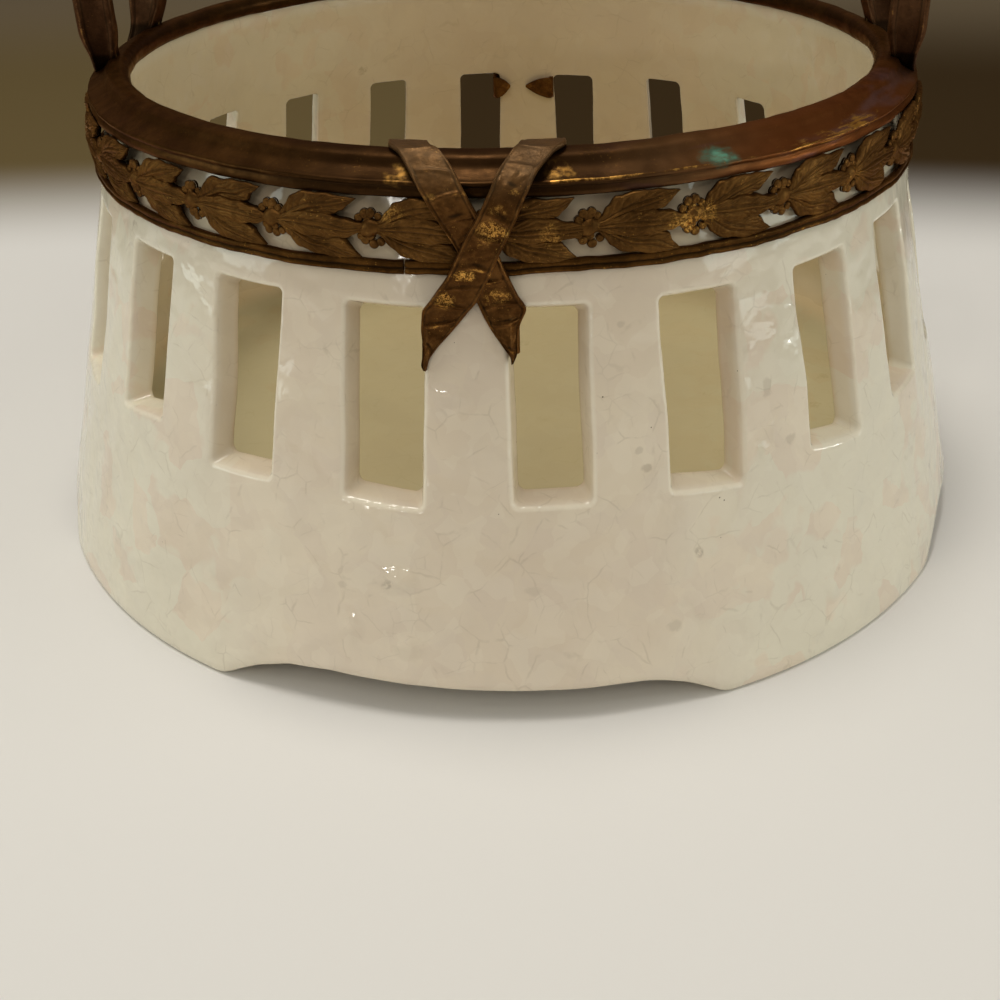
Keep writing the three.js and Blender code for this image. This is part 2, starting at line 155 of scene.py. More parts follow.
def waves(points, wavelength, seed, count=14):
    """Smooth seeded noise of about unit size at points, in millimetres."""
    random = np.random.default_rng(seed)
    directions = random.normal(size=(count, 3))
    directions /= np.linalg.norm(directions, axis=1)[:, None]
    pitch = wavelength * random.uniform(0.7, 1.5, count)
    phase = random.uniform(0, 2 * math.pi, count)
    angles = points @ (directions * (2 * math.pi / pitch)[:, None]).T + phase
    return np.sin(angles).sum(axis=-1) / math.sqrt(count / 2)


def add_object(name, data):
    made = bpy.data.objects.new(name, data)
    bpy.context.scene.collection.objects.link(made)
    return made


class Surface:
    """Collects grids of points, with named marks per point, into one smooth mesh."""

    def __init__(self, marks=("high", "low")):
        self.points = []
        self.faces = []
        self.marks = {mark: [] for mark in marks}
        self.count = 0

    def grid(self, points, closed_columns=False, **marks):
        rows, columns = points.shape[:2]
        for a in range(self.count, self.count + (rows - 1) * columns, columns):
            b = a + columns
            for j in range(columns if closed_columns else columns - 1):
                k = (j + 1) % columns
                self.faces.append((a + j, a + k, b + k, b + j))
        self.points.append(points.reshape(-1, 3))
        for mark, values in self.marks.items():
            given = np.broadcast_to(marks.get(mark, 0.0), (rows, columns))
            values.append(given.reshape(-1))
        self.count += rows * columns

    def strip(self, a, b, **marks):
        self.grid(np.stack([a, b]), **marks)

    def cap(self, row):
        """Closes the hole in a loop of points with a fan round its middle."""
        columns = len(row)
        self.points.append(np.vstack([row, row.mean(axis=0)]))
        for values in self.marks.values():
            values.append(np.zeros(columns + 1))
        for j in range(columns):
            k = (j + 1) % columns
            self.faces.append((self.count + j, self.count + k, self.count + columns))
        self.count += columns + 1

    def build(self, name, node, material, displace=None):
        """Makes the piece, which takes the place of a node and rides on the root body."""
        points = np.vstack(self.points)
        if displace is not None:
            points = displace(points)
        mesh = bpy.data.meshes.new(name)
        mesh.from_pydata((points * MM).tolist(), [], self.faces)
        for mark, values in self.marks.items():
            layer = mesh.attributes.new(mark, "FLOAT", "POINT")
            layer.data.foreach_set("value", np.concatenate(values).astype(np.float32))
        bm = bmesh.new()
        bm.from_mesh(mesh)
        bmesh.ops.remove_doubles(bm, verts=bm.verts, dist=MERGE * MM)
        bmesh.ops.recalc_face_normals(bm, faces=bm.faces)
        for face in bm.faces:
            face.smooth = True
        bm.to_mesh(mesh)
        bm.free()
        mesh.materials.append(material)
        piece = add_object(name, mesh)
        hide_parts(node)
        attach(piece, "root")


# Shader helpers

def new_material(name):
    material = bpy.data.materials.new(name)
    material.use_nodes = True
    material.node_tree.nodes.clear()
    return material, Shader(material.node_tree)


class Shader:
    """Adds nodes to a tree; an input may be a value or another node's output."""

    def __init__(self, tree):
        self.tree = tree

    def node(self, kind, inputs=None, out=0, **settings):
        made = self.tree.nodes.new(kind)
        for name, value in settings.items():
            setattr(made, name, value)
        for name, value in (inputs or {}).items():
            if isinstance(value, bpy.types.NodeSocket):
                self.tree.links.new(value, made.inputs[name])
            else:
                made.inputs[name].default_value = value
        return made.outputs[out] if made.outputs else None

    def math(self, operation, a, b=0.0, clamp=False):
        return self.node("ShaderNodeMath", {0: a, 1: b}, operation=operation, use_clamp=clamp)

    def times(self, a, b):
        return self.math("MULTIPLY", a, b)

    def plus(self, a, b):
        return self.math("ADD", a, b)

    def join(self, operation, values):
        joined, *rest = values
        for value in rest:
            joined = self.math(operation, joined, value)
        return joined

    def vector(self, operation, a, b):
        return self.node("ShaderNodeVectorMath", {0: a, 1: b}, operation=operation)

    def length(self, a):
        return self.node("ShaderNodeVectorMath", {0: a}, 1, operation="LENGTH")

    def axes(self, place):
        return self.node("ShaderNodeSeparateXYZ", {0: place}).node.outputs

    def remap(self, value, low, high, to_low=0.0, to_high=1.0, kind="SMOOTHSTEP"):
        return self.node("ShaderNodeMapRange", {
            "Value": value, "From Min": low, "From Max": high,
            "To Min": to_low, "To Max": to_high}, interpolation_type=kind)

    def mix(self, factor, a, b):
        a, b = (tint if isinstance(tint, bpy.types.NodeSocket) else (*tint, 1) for tint in (a, b))
        return self.node("ShaderNodeMix", {0: factor, 6: a, 7: b}, 2, data_type="RGBA")

    def noise(self, place, millimetres, detail=3.0, roughness=0.55):
        return self.node("ShaderNodeTexNoise", {
            "Vector": place, "Scale": 1 / (millimetres * MM), "Detail": detail,
            "Roughness": roughness})

    def cells(self, place, millimetres, feature="F1", out=0):
        return self.node("ShaderNodeTexVoronoi", {
            "Vector": place, "Scale": 1 / (millimetres * MM)}, out, feature=feature)

    def cell_tone(self, place, millimetres):
        """A random grey for each cell."""
        return self.node("ShaderNodeSeparateColor", {0: self.cells(place, millimetres, out=1)})

    def bend(self, place, millimetres, reach, detail):
        """The place moved by noise of a size, as far as reach."""
        moved = self.node("ShaderNodeTexNoise", {
            "Vector": place, "Scale": 1 / (millimetres * MM), "Detail": detail}, 1)
        return self.vector("ADD", place, self.vector("MULTIPLY", moved, (reach * MM,) * 3))

    def mark(self, name):
        return self.node("ShaderNodeAttribute", out=2, attribute_name=name)

    def bump(self, height, distance, strength=1.0, normal=None):
        inputs = {"Height": height, "Distance": distance * MM, "Strength": strength}
        if normal is not None:
            inputs["Normal"] = normal
        return self.node("ShaderNodeBump", inputs)

    def place(self):
        return self.node("ShaderNodeTexCoord", out=3)

    def spot(self, place, centre, size, wobble=0.0, core=0.45):
        """1 at a point given in millimetres, falling to 0 at size, with a ragged edge."""
        offset = self.vector("SUBTRACT", place, tuple(c * MM for c in centre))
        scaled = self.vector("MULTIPLY", offset, tuple(1 / (s * MM) for s in size))
        distance = self.length(scaled)
        if wobble:
            ragged = self.remap(self.noise(place, 2.2, 5), 0.25, 0.75, -wobble, wobble, "LINEAR")
            distance = self.plus(distance, ragged)
        return self.remap(distance, 1.0, core)

    def finish(self, **inputs):
        shader = self.node("ShaderNodeBsdfPrincipled", inputs)
        self.node("ShaderNodeOutputMaterial", {"Surface": shader})


# Stains under the glaze, as [angle, height], size in millimetres and strength
STAINS = (
    ((19.5, 46.1), (1.3, 1.3, 1.1), 0.8), ((18.8, 49.3), (0.9, 0.9, 0.8), 0.6),
    ((35.0, 55.5), (1.1, 1.1, 3.0), 0.6), ((37.9, 44.4), (1.3, 1.3, 1.3), 0.6),
    ((17.3, 71.2), (0.9, 0.9, 0.8), 0.5), ((7.0, 25.4), (1.8, 1.2, 1.0), 0.35),
    ((-13.4, 24.8), (1.3, 1.3, 0.9), 0.45), ((21.7, 15.8), (1.6, 1.6, 1.5), 0.5),
)
# Small blisters that catch the light, as [angle, height] and size in millimetres, and their
# rise for each millimetre of width
BLISTER_RISE = 0.13
BLISTERS = (
    ((-7.0, 27.2), (5.0, 5.0, 3.4)), ((-5.9, 15.0), (4.0, 4.0, 3.2)),
    ((-12.2, 17.5), (3.0, 3.0, 4.5)), ((-1.3, 61.2), (4.0, 4.0, 3.0)),
    ((-3.1, 59.0), (1.5, 1.5, 2.4)), ((33.5, 63.0), (1.8, 1.8, 2.0)),
    ((34.6, 44.0), (2.6, 2.6, 2.8)), ((42.6, 12.5), (3.0, 3.0, 3.0)),
)


def glaze_material():
    """Cream lead glaze, softly rippled, crazed, with specks, stains and deep glaze at the edges,
    plus painted reflections, painted shade and painted highlights.
    """
    material, s = new_material("creamware_glaze")
    place = s.place()
    bent = s.bend(place, 5, 4, 2.5)
    little_bent = s.bend(place, 4, 1.6, 2)
    across = s.math("ABSOLUTE", s.axes(place)[0])
    # Painted reflection: pale patches that grow towards the sides, where the glaze would mirror the
    # side windows
    tone = s.plus(
        s.cell_tone(bent, 11), s.remap(s.noise(bent, 13, 2), 0.3, 0.7, -0.35, 0.35))
    tone = s.plus(tone, s.remap(across, 0.04, 0.085, 0, 0.3))
    side_reflection = s.times(s.remap(tone, 0.34, 0.5), s.remap(across, 0.028, 0.062))
    wide_crack = s.times(
        s.remap(s.cells(little_bent, 8.5, "DISTANCE_TO_EDGE"), 0.026, 0.004),
        s.remap(s.noise(place, 5, 3), 0.48, 0.64))
    fine_crack = s.times(
        s.remap(s.cells(little_bent, 4.2, "DISTANCE_TO_EDGE"), 0.04, 0.006),
        s.remap(s.noise(place, 7, 3), 0.52, 0.68))
    smudge_size = s.remap(s.noise(place, 23, 1), 0.5, 0.7, 0.0, 0.16, "LINEAR")
    smudge = s.math("SUBTRACT", smudge_size, s.cells(bent, 12))
    smudge = s.times(s.remap(smudge, 0.0, 0.05), s.remap(s.noise(place, 0.8, 4), 0.35, 0.6))
    for centre, size, strength in STAINS:
        stain = s.spot(place, polar(outer_radius(centre[1]), *centre), size, 0.5)
        smudge = s.math("MAXIMUM", smudge, s.times(stain, strength))
    speck_size = s.remap(s.noise(place, 6, 1), 0.54, 0.82, 0.0, 0.08, "LINEAR")
    speck = s.math("LESS_THAN", s.cells(place, 3.4), speck_size)
    # Deep glaze runs yellow, and the same mark paints shade inside the bowl, under it and behind
    # the frieze
    pooled = s.mix(s.remap(s.mark("pool"), 0.55, 0.8), (0.66, 0.44, 0.12), (0.375, 0.312, 0.112))
    cream = s.mix(
        s.remap(s.noise(place, 26, 2), 0.35, 0.65), (0.765, 0.672, 0.53), (0.725, 0.622, 0.49))
    # Mixed in order: three kinds of blotch and the pale side patches, all painted reflections; the
    # glaze's own crazing, smudges and specks; deep yellow glaze with painted shade; painted
    # highlight on thin edges
    for shown, colour in (
        (s.remap(s.noise(bent, 9, 3), 0.45, 0.7, 0, 0.35), (0.68, 0.595, 0.49)),
        (s.remap(s.cell_tone(bent, 8.5), 0.35, 0.75, 0, 0.25), (0.68, 0.575, 0.475)),
        (s.remap(s.cell_tone(bent, 4.3), 0.5, 0.85, 0, 0.22), (0.83, 0.755, 0.61)),
        (s.times(side_reflection, 0.55), (0.755, 0.745, 0.61)),
        (s.times(wide_crack, 0.2), (0.36, 0.29, 0.2)),
        (s.times(fine_crack, 0.15), (0.40, 0.33, 0.24)),
        (s.times(smudge, 0.5), (0.38, 0.315, 0.235)),
        (s.times(speck, 0.8), (0.12, 0.08, 0.05)),
        (s.times(s.mark("pool"), 0.9), pooled),
        (s.times(s.mark("thin"), 0.55), (0.86, 0.80, 0.65)),
    ):
        cream = s.mix(shown, cream, colour)
    inside = s.remap(s.mark("pool"), 0, 0.6, 1.0, 0.25)
    normal = s.bump(s.noise(bent, 9, 1.5, 0.4), 1.5, s.times(inside, 0.5))
    normal = s.bump(s.cells(bent, 6.5, "SMOOTH_F1"), 0.9, s.times(inside, 0.35), normal)
    hardly_bent = s.bend(place, 2, 0.8, 1)
    blisters = s.join("ADD", [
        s.times(
            s.spot(hardly_bent, polar(outer_radius(centre[1]), *centre), size, 0, 0),
            BLISTER_RISE * size[0])
        for centre, size in BLISTERS])
    normal = s.bump(blisters, 1.0, 1.0, normal)
    normal = s.bump(s.noise(place, 2.4, 2), 0.5, s.times(s.mark("thin"), 0.7), normal)
    normal = s.bump(s.noise(place, 1.6, 3), 0.015, 0.5, normal)
    normal = s.bump(s.plus(wide_crack, fine_crack), -0.012, 0.5, normal)
    rough = s.remap(s.noise(place, 10, 3), 0.3, 0.7, 0.06, 0.14)
    rough = s.plus(rough, s.remap(s.mark("pool"), 0.34, 0.7, 0, 0.3))
    s.finish(**{"Base Color": cream, "Roughness": rough, "Normal": normal, "IOR": 1.52})
    return material


def bronze_material(name, dark, light, gold_amount, grain, fleck=0.5, moulding=False, spots=(),
                    shine=0.0, grey_sheen=0.0):
    """Old gilded bronze: brown patina, lightened as painted highlight and worn to gold where the
    mark "high" is large, and darkened where "low" is large.
    """
    material, s = new_material(name)
    place = s.place()
    level = s.vector("MULTIPLY", place, (0.35, 0.35, 2.2))
    brown = s.mix(s.remap(s.noise(place, 7, 4, 0.6), 0.36, 0.66), dark, light)
    mottle = s.remap(s.noise(place, 1.5, 4, 0.65), 0.4, 0.72)
    brown = s.mix(s.times(mottle, 0.5), brown, tuple(0.45 * c for c in dark))
    fine = s.remap(s.noise(place, 0.6, 4, 0.7), 0.5, 0.75)
    brown = s.mix(s.times(fine, 0.4 * grain), brown, tuple(1.5 * c for c in light))
    if moulding:
        brown = rim_colours(s, place, level, brown)
    ragged = s.remap(s.noise(place, 1.1, 6, 0.75), 0.3, 0.75, -0.6, 0.5, "LINEAR")
    uneven = s.remap(s.noise(place, 10, 3), 0.3, 0.7, -0.35, 0.25, "LINEAR")
    # The mark "high" is partly rubbed wear and partly painted highlight: raised parts are
    # lightened, and worn through to gold past a point
    wear_and_highlight = s.plus(s.plus(s.mark("high"), ragged), uneven)
    brown = s.mix(
        s.times(s.remap(wear_and_highlight, 0.25, 0.85), 0.5), brown, tuple(1.9 * c for c in light))
    worn = s.times(s.remap(wear_and_highlight, 0.68, 1.1), gold_amount)
    rubbed = s.noise(place, 1.6, 5, 0.7)
    veins = s.remap(s.math("ABSOLUTE", s.math("SUBTRACT", rubbed, 0.47)), 0.035, 0.012)
    broken = s.math("MAXIMUM", veins, s.remap(rubbed, 0.53, 0.60))
    for centre, size, strength in spots:
        spot = s.times(s.spot(place, centre, size, 0.45), broken)
        worn = s.math("MAXIMUM", worn, s.times(spot, strength))
    if moulding:
        worn = s.math("MAXIMUM", worn, rim_gold(s, place, level))
    speck = s.remap(s.noise(place, 0.42, 2, 0.6), 0.655, 0.70)
    region = s.remap(s.noise(place, 5, 3), 0.42, 0.66)
    worn = s.math("MAXIMUM", worn, s.times(speck, s.times(region, fleck)))
    gold = s.mix(s.noise(place, 1.6, 3), (0.52, 0.23, 0.035), (0.80, 0.46, 0.12))
    colour = s.mix(worn, brown, gold)
    # Painted shade where the mark "low" is large: on backs, sides and faces towards the wall, and
    # as patina in the hollows
    low = s.remap(s.mark("low"), 0.15, 0.9)
    colour = s.mix(s.times(low, 0.85), colour, (0.010, 0.006, 0.003))
    metal = s.remap(worn, 0, 1, 0.75, 0.95)
    # Painted sheen: the tops over the rim are greyed and made less metallic, in place of a broad
    # grey reflection
    if grey_sheen:
        painted_sheen = s.remap(s.axes(place)[2], 0.093, 0.099, 0, grey_sheen)
        colour = s.mix(painted_sheen, colour, (0.070, 0.050, 0.027))
        metal = s.math("SUBTRACT", metal, painted_sheen, True)
    if moulding:
        green = s.spot(place, (41.6, -73.3, 96.9), (4.4, 3.8, 1.7), 0.35)
        green = s.times(green, s.remap(s.noise(level, 1.2, 4, 0.7), 0.3, 0.6, 0.35, 1))
        core = s.spot(place, (42.0, -73.1, 96.8), (2.6, 2.4, 0.9), 0.4)
        teal = s.mix(core, (0.035, 0.115, 0.08), (0.09, 0.30, 0.21))
        colour = s.mix(s.times(green, 0.85), colour, teal)
        metal = s.math("SUBTRACT", metal, s.times(green, 0.55), True)
    rough = s.remap(s.noise(place, 3.0, 4, 0.6), 0.3, 0.7, 0.34 - shine, 0.52 - shine)
    normal = s.bump(s.noise(place, 0.8, 5, 0.7), 0.09, grain)
    normal = s.bump(s.noise(place, 3.5, 3), 0.35, 0.5 * grain, normal)
    s.finish(**{
        "Base Color": colour, "Metallic": metal, "Roughness": rough, "Normal": normal,
        "Specular Tint": (0.8, 0.5, 0.22, 1), "Specular IOR Level": 0.25})
    return material


def rim_colours(s, place, level, brown):
    """The moulding gets painted shade where it crosses the middle, with a red and faintly purple
    bloom on its right.
    """
    across, depth, _ = s.axes(place)
    right = s.times(s.remap(across, 0.012, 0.05), s.remap(depth, -0.005, -0.04))
    red = s.mix(s.remap(across, 0.028, 0.055), (0.175, 0.088, 0.038), (0.160, 0.048, 0.013))
    bloom = s.mix(s.remap(s.noise(level, 6, 3), 0.5, 0.68), red, (0.170, 0.080, 0.072))
    # Painted shade: darker where it crosses the middle, front and back, which dulls the lamps'
    # reflection in front
    middle = s.remap(s.math("ABSOLUTE", s.plus(across, 0.002)), 0.045, 0.014)
    brown = s.mix(s.times(middle, 0.7), brown, (0.022, 0.0095, 0.0035))
    return s.mix(s.times(right, 0.75), brown, bloom)


def rim_gold(s, place, level):
    """Places on the moulding where the gilding still shows."""
    streaks = s.vector("MULTIPLY", level, (0.7, 0.7, 2.0))
    rub = s.remap(s.noise(streaks, 1.3, 5, 0.7), 0.47, 0.60)
    stain = s.remap(s.noise(place, 1.8, 4, 0.6), 0.4, 0.68)
    return s.join("MAXIMUM", [
        s.times(s.times(s.spot(place, centre, size, 0.4), wear), strength)
        for centre, size, strength, wear in (
            ((-10.1, -83.7, 96.4), (3.0, 3.0, 2.4), 0.4, stain),
            ((15.9, -82.9, 97.6), (3.0, 3.0, 2.6), 0.45, stain),
            ((59.0, -60.0, 96.2), (9.0, 9.0, 0.9), 0.9, rub),
            ((67.0, -50.5, 96.5), (7.0, 9.0, 1.1), 0.8, rub),
        )])


def mastic_material():
    material, s = new_material("bedding_mastic")
    place = s.place()
    colour = s.mix(s.noise(place, 3, 4), (0.50, 0.44, 0.34), (0.36, 0.30, 0.22))
    normal = s.bump(s.noise(place, 0.8, 5, 0.7), 0.2, 0.8)
    s.finish(**{"Base Color": colour, "Roughness": 0.9, "Normal": normal})
    return material


GLAZE = glaze_material()
# Gilding left on the ribbons and the laurel, as place, size and strength
RIBBON_GOLD = (
    ((5.1, -89.9, 89.8), (3.2, 2.5, 2.4), 1.0), ((0.8, -89.9, 82.3), (2.2, 2.5, 1.3), 1.0),
    ((-2.6, -89.3, 77.4), (2.6, 3.0, 1.7), 0.9), ((6.2, -89.0, 77.8), (2.6, 3.0, 1.7), 0.75),
    ((7.4, -90.0, 98.9), (1.6, 2.5, 1.0), 0.8), ((9.0, -90.0, 96.0), (1.2, 2.5, 0.8), 0.7),
    ((6.3, -90.0, 93.4), (1.8, 2.5, 1.0), 0.6), ((-5.0, -90.0, 95.0), (2.0, 2.5, 0.8), 0.45),
)
LAUREL_GOLD = (
    ((37.6, -78.2, 88.0), (5.5, 5.0, 3.4), 0.9), ((14.5, -86.5, 88.0), (2.4, 3.0, 2.4), 0.6),
    ((-11.6, -87.0, 91.5), (3.0, 3.0, 1.6), 0.5),
)
MOULDING_BRONZE = bronze_material(
    "bronze_moulding", (0.046, 0.019, 0.005), (0.080, 0.034, 0.009), 0.9, 0.25, 0.15, True,
    shine=0.04)
BAND_BRONZE = bronze_material(
    "bronze_band", (0.046, 0.019, 0.004), (0.096, 0.041, 0.009), 0.7, 0.7, 0.7)
LAUREL_BRONZE = bronze_material(
    "bronze_laurel", (0.080, 0.035, 0.009), (0.150, 0.070, 0.018), 0.7, 1.0, 0.6, spots=LAUREL_GOLD)
RIBBON_BRONZE = bronze_material(
    "bronze_ribbon", (0.068, 0.027, 0.007), (0.130, 0.056, 0.015), 0.75, 0.8, 0.45,
    spots=RIBBON_GOLD, shine=0.06, grey_sheen=0.4)
HANDLE_BRONZE = bronze_material(
    "bronze_handle", (0.050, 0.021, 0.009), (0.095, 0.044, 0.020), 0.3, 0.4, 0.1)
SCREW_BRASS = bronze_material(
    "screw_brass", (0.16, 0.10, 0.04), (0.30, 0.2, 0.08), 0.8, 0.3, 0.3)
MASTIC = mastic_material()


# Creamware body

def wall_thickness(height):
    return lerp(WALL_THICKNESS, TOP_THICKNESS, smoothstep(height, OPENING_TOP, WALL_TOP))


def arch_height(degrees):
    """Height of the body's lower edge at an angle: 0 on the feet, an ogee between them."""
    from_middle = (np.asarray(degrees) + 45) % 90 - 45
    total = 0
    for shift in (-0.7, -0.35, 0, 0.35, 0.7):
        total = total + np.interp(from_middle + shift, ARCH_ANGLES, ARCH_HEIGHTS)
    return total / 5


def opening_sizes(degrees, random):
    """Centre, width, sill at left and right, and top of the opening near an angle."""
    jitter = random.uniform(-1, 1, 5) * (0.35, 0.45, 0.5, 0.5, 0.35)
    signed = (degrees + 180) % 360 - 180
    usual = (signed, OPENING_WIDTH, OPENING_BOTTOM, OPENING_BOTTOM, OPENING_TOP)
    return SHOWN_OPENINGS.get(round(signed), usual + jitter)


def rounded_loop(width, left_low, right_low, high, corner):
    """A loop round an opening from its lower left corner, anticlockwise from outside."""
    half = width / 2 - corner
    centres = np.array([
        (-half, left_low + corner), (half, right_low + corner),
        (half, high - corner), (-half, high - corner)])
    bend = np.arange(CORNER_STEPS) / CORNER_STEPS
    points = []
    for side in range(4):
        straight = (COLUMNS if side % 2 == 0 else SIDE_STEPS) - 2 * CORNER_STEPS
        t = np.concatenate([0 * bend, np.arange(straight) / straight, 0 * bend + 1])
        turn = 45 * np.concatenate([bend - 1, np.zeros(straight), bend]) + 90 * side - 90
        turn = np.radians(turn)[:, None]
        run = lerp(centres[side], centres[(side + 1) % 4], t[:, None])
        points.append(run + corner * np.hstack([np.cos(turn), np.sin(turn)]))
    return np.vstack(points)


def panel_loop(middle):
    """The edge of one sector of the wall, as angles and heights, matched to rounded_loop."""
    left, right = middle - SECTOR / 2, middle + SECTOR / 2
    corners = [(left, PANEL_BOTTOM), (right, PANEL_BOTTOM), (right, PANEL_TOP), (left, PANEL_TOP)]
    points = []
    for side in range(4):
        steps = COLUMNS if side % 2 == 0 else SIDE_STEPS
        a, b = np.array(corners[side]), np.array(corners[(side + 1) % 4])
        points += [lerp(a, b, i / steps) for i in range(steps)]
    return np.array(points)


def opening_ring(sizes, depth, grow):
    """One loop of the opening's lining at a depth in the wall, as angle, height, depth."""
    centre, width, left_low, right_low, high = sizes
    t = depth / WALL_THICKNESS
    flat = rounded_loop(
        width - 2 * OPENING_TAPER * t + 2 * grow,
        left_low + SILL_RISE * t - grow,
        right_low + SILL_RISE * t - grow,
        high - HEAD_DROP * t + grow,
        OPENING_CORNER + 0.3 * t + grow)
    x, z = flat[:, 0], flat[:, 1]
    angle = centre + np.degrees(x / (outer_radius(z) - depth))
    return np.stack([angle, z, np.full_like(z, depth)], axis=1)


def sector_rings(middle, sizes):
    """All loops of one sector with their pool and thin marks, from its outer edge through
    the opening to its inner edge."""
    edge = panel_loop(middle)
    outer_edge = np.column_stack([edge, 0 * edge[:, 0]])
    opened = opening_ring(sizes, 0, OUTER_FILLET)
    loops = [(lerp(outer_edge, opened, t), 0, 0) for t in np.linspace(0, 1, 7)[:-1]]
    # Painted highlight along the opening's outer fillet, where the glaze also runs thin
    for turn in quarter(6):
        depth, grow = OUTER_FILLET * (1 - math.cos(turn)), OUTER_FILLET * (1 - math.sin(turn))
        thin = math.sin(turn * 2) if turn < math.pi / 2 else 0
        loops.append((opening_ring(sizes, depth, grow), 0, thin))
    # The jamb and the inner side of the opening take the pool mark: some deep glaze, some painted
    # shade
    loops += [(opening_ring(sizes, depth, 0), JAMB_POOL_AND_SHADE, 0) for depth in (2.0, 3.0, 4.0)]
    for turn in quarter(5):
        depth = WALL_THICKNESS - INNER_FILLET * (1 - math.sin(turn))
        ring = opening_ring(sizes, depth, INNER_FILLET * (1 - math.cos(turn)))
        loops.append((ring, 0.25, 0))
    inner_edge = np.column_stack([edge, wall_thickness(edge[:, 1])])
    loops += [(lerp(ring, inner_edge, t), 0.32, 0) for t in np.linspace(0, 1, 7)[1:]]
    rings, pool, thin = (np.array(each) for each in zip(*loops))
    return rings, pool[:, None], thin[:, None]


def inner_foot_radius(height):
    return np.interp(height, [0, 6.6, FLOOR_UNDERSIDE], [100.6, 98.4, 93])


def add_lower_wall(surface, angles):
    """Outside of the wall below the openings, round its arched edge and up to the floor."""
    low = arch_height(angles)
    bottom = low + FOOT_FILLET
    wall = [lerp(PANEL_BOTTOM, bottom, t) for t in np.linspace(0, 1, 34)]
    rows = [(outer_radius(z), z, 0, 0) for z in wall]
    start = outer_radius(bottom)
    # The foot's outer fillet gets a painted highlight, where the glaze also runs thin
    for turn in quarter(6)[1:]:
        r = start - FOOT_FILLET * (1 - math.cos(turn))
        rows.append((r, low + FOOT_FILLET * (1 - math.sin(turn)), 0, 0.5 * math.sin(2 * turn)))
    # Painted shade under the body: the foot's inner side and the underside take the pool mark
    inner = inner_foot_radius(bottom)
    for turn in quarter(5)[::-1]:
        r = inner + FOOT_FILLET * (1 - math.cos(turn))
        rows.append((r, low + FOOT_FILLET * (1 - math.sin(turn)), 0.2, 0))
    for t in np.linspace(0, 1, 6)[1:]:
        z = lerp(bottom, FLOOR_UNDERSIDE, t)
        rows.append((inner_foot_radius(z), z, 0.4, 0))
    rows += [(r, FLOOR_UNDERSIDE, 0.1, 0) for r in (80, 60, 40, 20, 8, 3, 1)]
    add_turned_rows(surface, rows, angles)
    surface.cap(polar(1, angles, FLOOR_UNDERSIDE))


def add_turned_rows(surface, rows, angles):
    """A grid round the axis, from rows given as radius, height, pool and thin."""
    points = np.array([polar(r, angles, z) for r, z, _, _ in rows])
    pool, thin = np.array([row[2:] for row in rows]).T[..., None]
    surface.grid(points, True, pool=pool, thin=thin)


def add_inside(surface, angles):
    """Inside of the wall below the openings, its curve into the floor, and the floor."""
    high, across = 26.5, 10.5
    wall = outer_radius(high) - WALL_THICKNESS
    # Inside, the pool mark rises from wall to floor: deeper glaze and painted shade
    rows = [(outer_radius(z) - WALL_THICKNESS, z, WALL_POOL_AND_SHADE, 0)
            for z in (PANEL_BOTTOM, 31.5, 29, high)]
    for turn in quarter(9)[1:]:
        pool = WALL_POOL_AND_SHADE + (FLOOR_POOL_AND_SHADE - WALL_POOL_AND_SHADE) * smoothstep(turn, 0, 1.2)
        r = wall - across * (1 - math.cos(turn))
        rows.append((r, high - (high - FLOOR_TOP) * math.sin(turn), pool, 0))
    rows += [(r, FLOOR_TOP, FLOOR_POOL_AND_SHADE, 0)
             for r in (78, 72, 66, 60, 54, 48, 42, 36, 30, 24, 18, 13, 9, 6, 3.5, 2, 1)]
    add_turned_rows(surface, rows, angles)
    surface.cap(polar(1, angles, FLOOR_TOP))


def add_wall_top(surface, angles):
    """The wall above the openings, rounded by a millimetre at its two top edges."""
    shoulder = WALL_TOP - 1
    outer = outer_radius(shoulder)
    inner = outer - TOP_THICKNESS
    # Painted shade on the outside behind the frieze and under the moulding, by the pool mark; the
    # rounded top edges also get a painted highlight
    rows = [(outer_radius(z), z, 0.25 if z > PANEL_TOP else 0, 0)
            for z in (PANEL_TOP, 84, 87, 90, 93, shoulder)]
    rows += [(outer - 1 + math.cos(turn), shoulder + math.sin(turn), 0.2, 0.2)
             for turn in quarter(5)[1:]]
    rows += [(inner + 1 - math.cos(turn), shoulder + math.sin(turn), 0.2, 0.2)
             for turn in quarter(5)[::-1]]
    rows += [(outer_radius(z) - wall_thickness(z), z, WALL_POOL_AND_SHADE, 0)
             for z in (92.5, 89.5, 86.5, 83.5, PANEL_TOP)]
    add_turned_rows(surface, rows, angles)


def hand_made(points):
    """Moves points a little, as in thrown and hand-cut ware, but not the resting feet."""
    held = smoothstep(points[:, 2], 1.5, 8.0) * (1 - 0.8 * smoothstep(points[:, 2], 78, 82))
    moved = points.copy()
    for axis, seed in ((0, 31), (1, 32), (2, 33)):
        soft = 0.12 * waves(points, 26, seed) + 0.025 * waves(points, 8, seed + 10)
        moved[:, axis] += held * soft * (0.55 if axis == 2 else 1)
    return moved


def make_body():
    surface = Surface(("pool", "thin"))
    random = np.random.default_rng(7)
    for i in range(OPENINGS):
        middle = (i + 0.5) * SECTOR
        centre, *rest = opening_sizes(middle, random)
        sizes = (middle + ((centre - middle + 180) % 360 - 180), *rest)
        rings, pool, thin = sector_rings(middle, sizes)
        angle, z, depth = rings[..., 0], rings[..., 1], rings[..., 2]
        surface.grid(polar(outer_radius(z) - depth, angle, z), True, pool=pool, thin=thin)
    angles = np.arange(OPENINGS * COLUMNS) * SECTOR / COLUMNS
    add_lower_wall(surface, angles)
    add_inside(surface, angles)
    add_wall_top(surface, angles)
    surface.build("basket_body", "creamware_body", GLAZE, displace=hand_made)


# Bronze mount

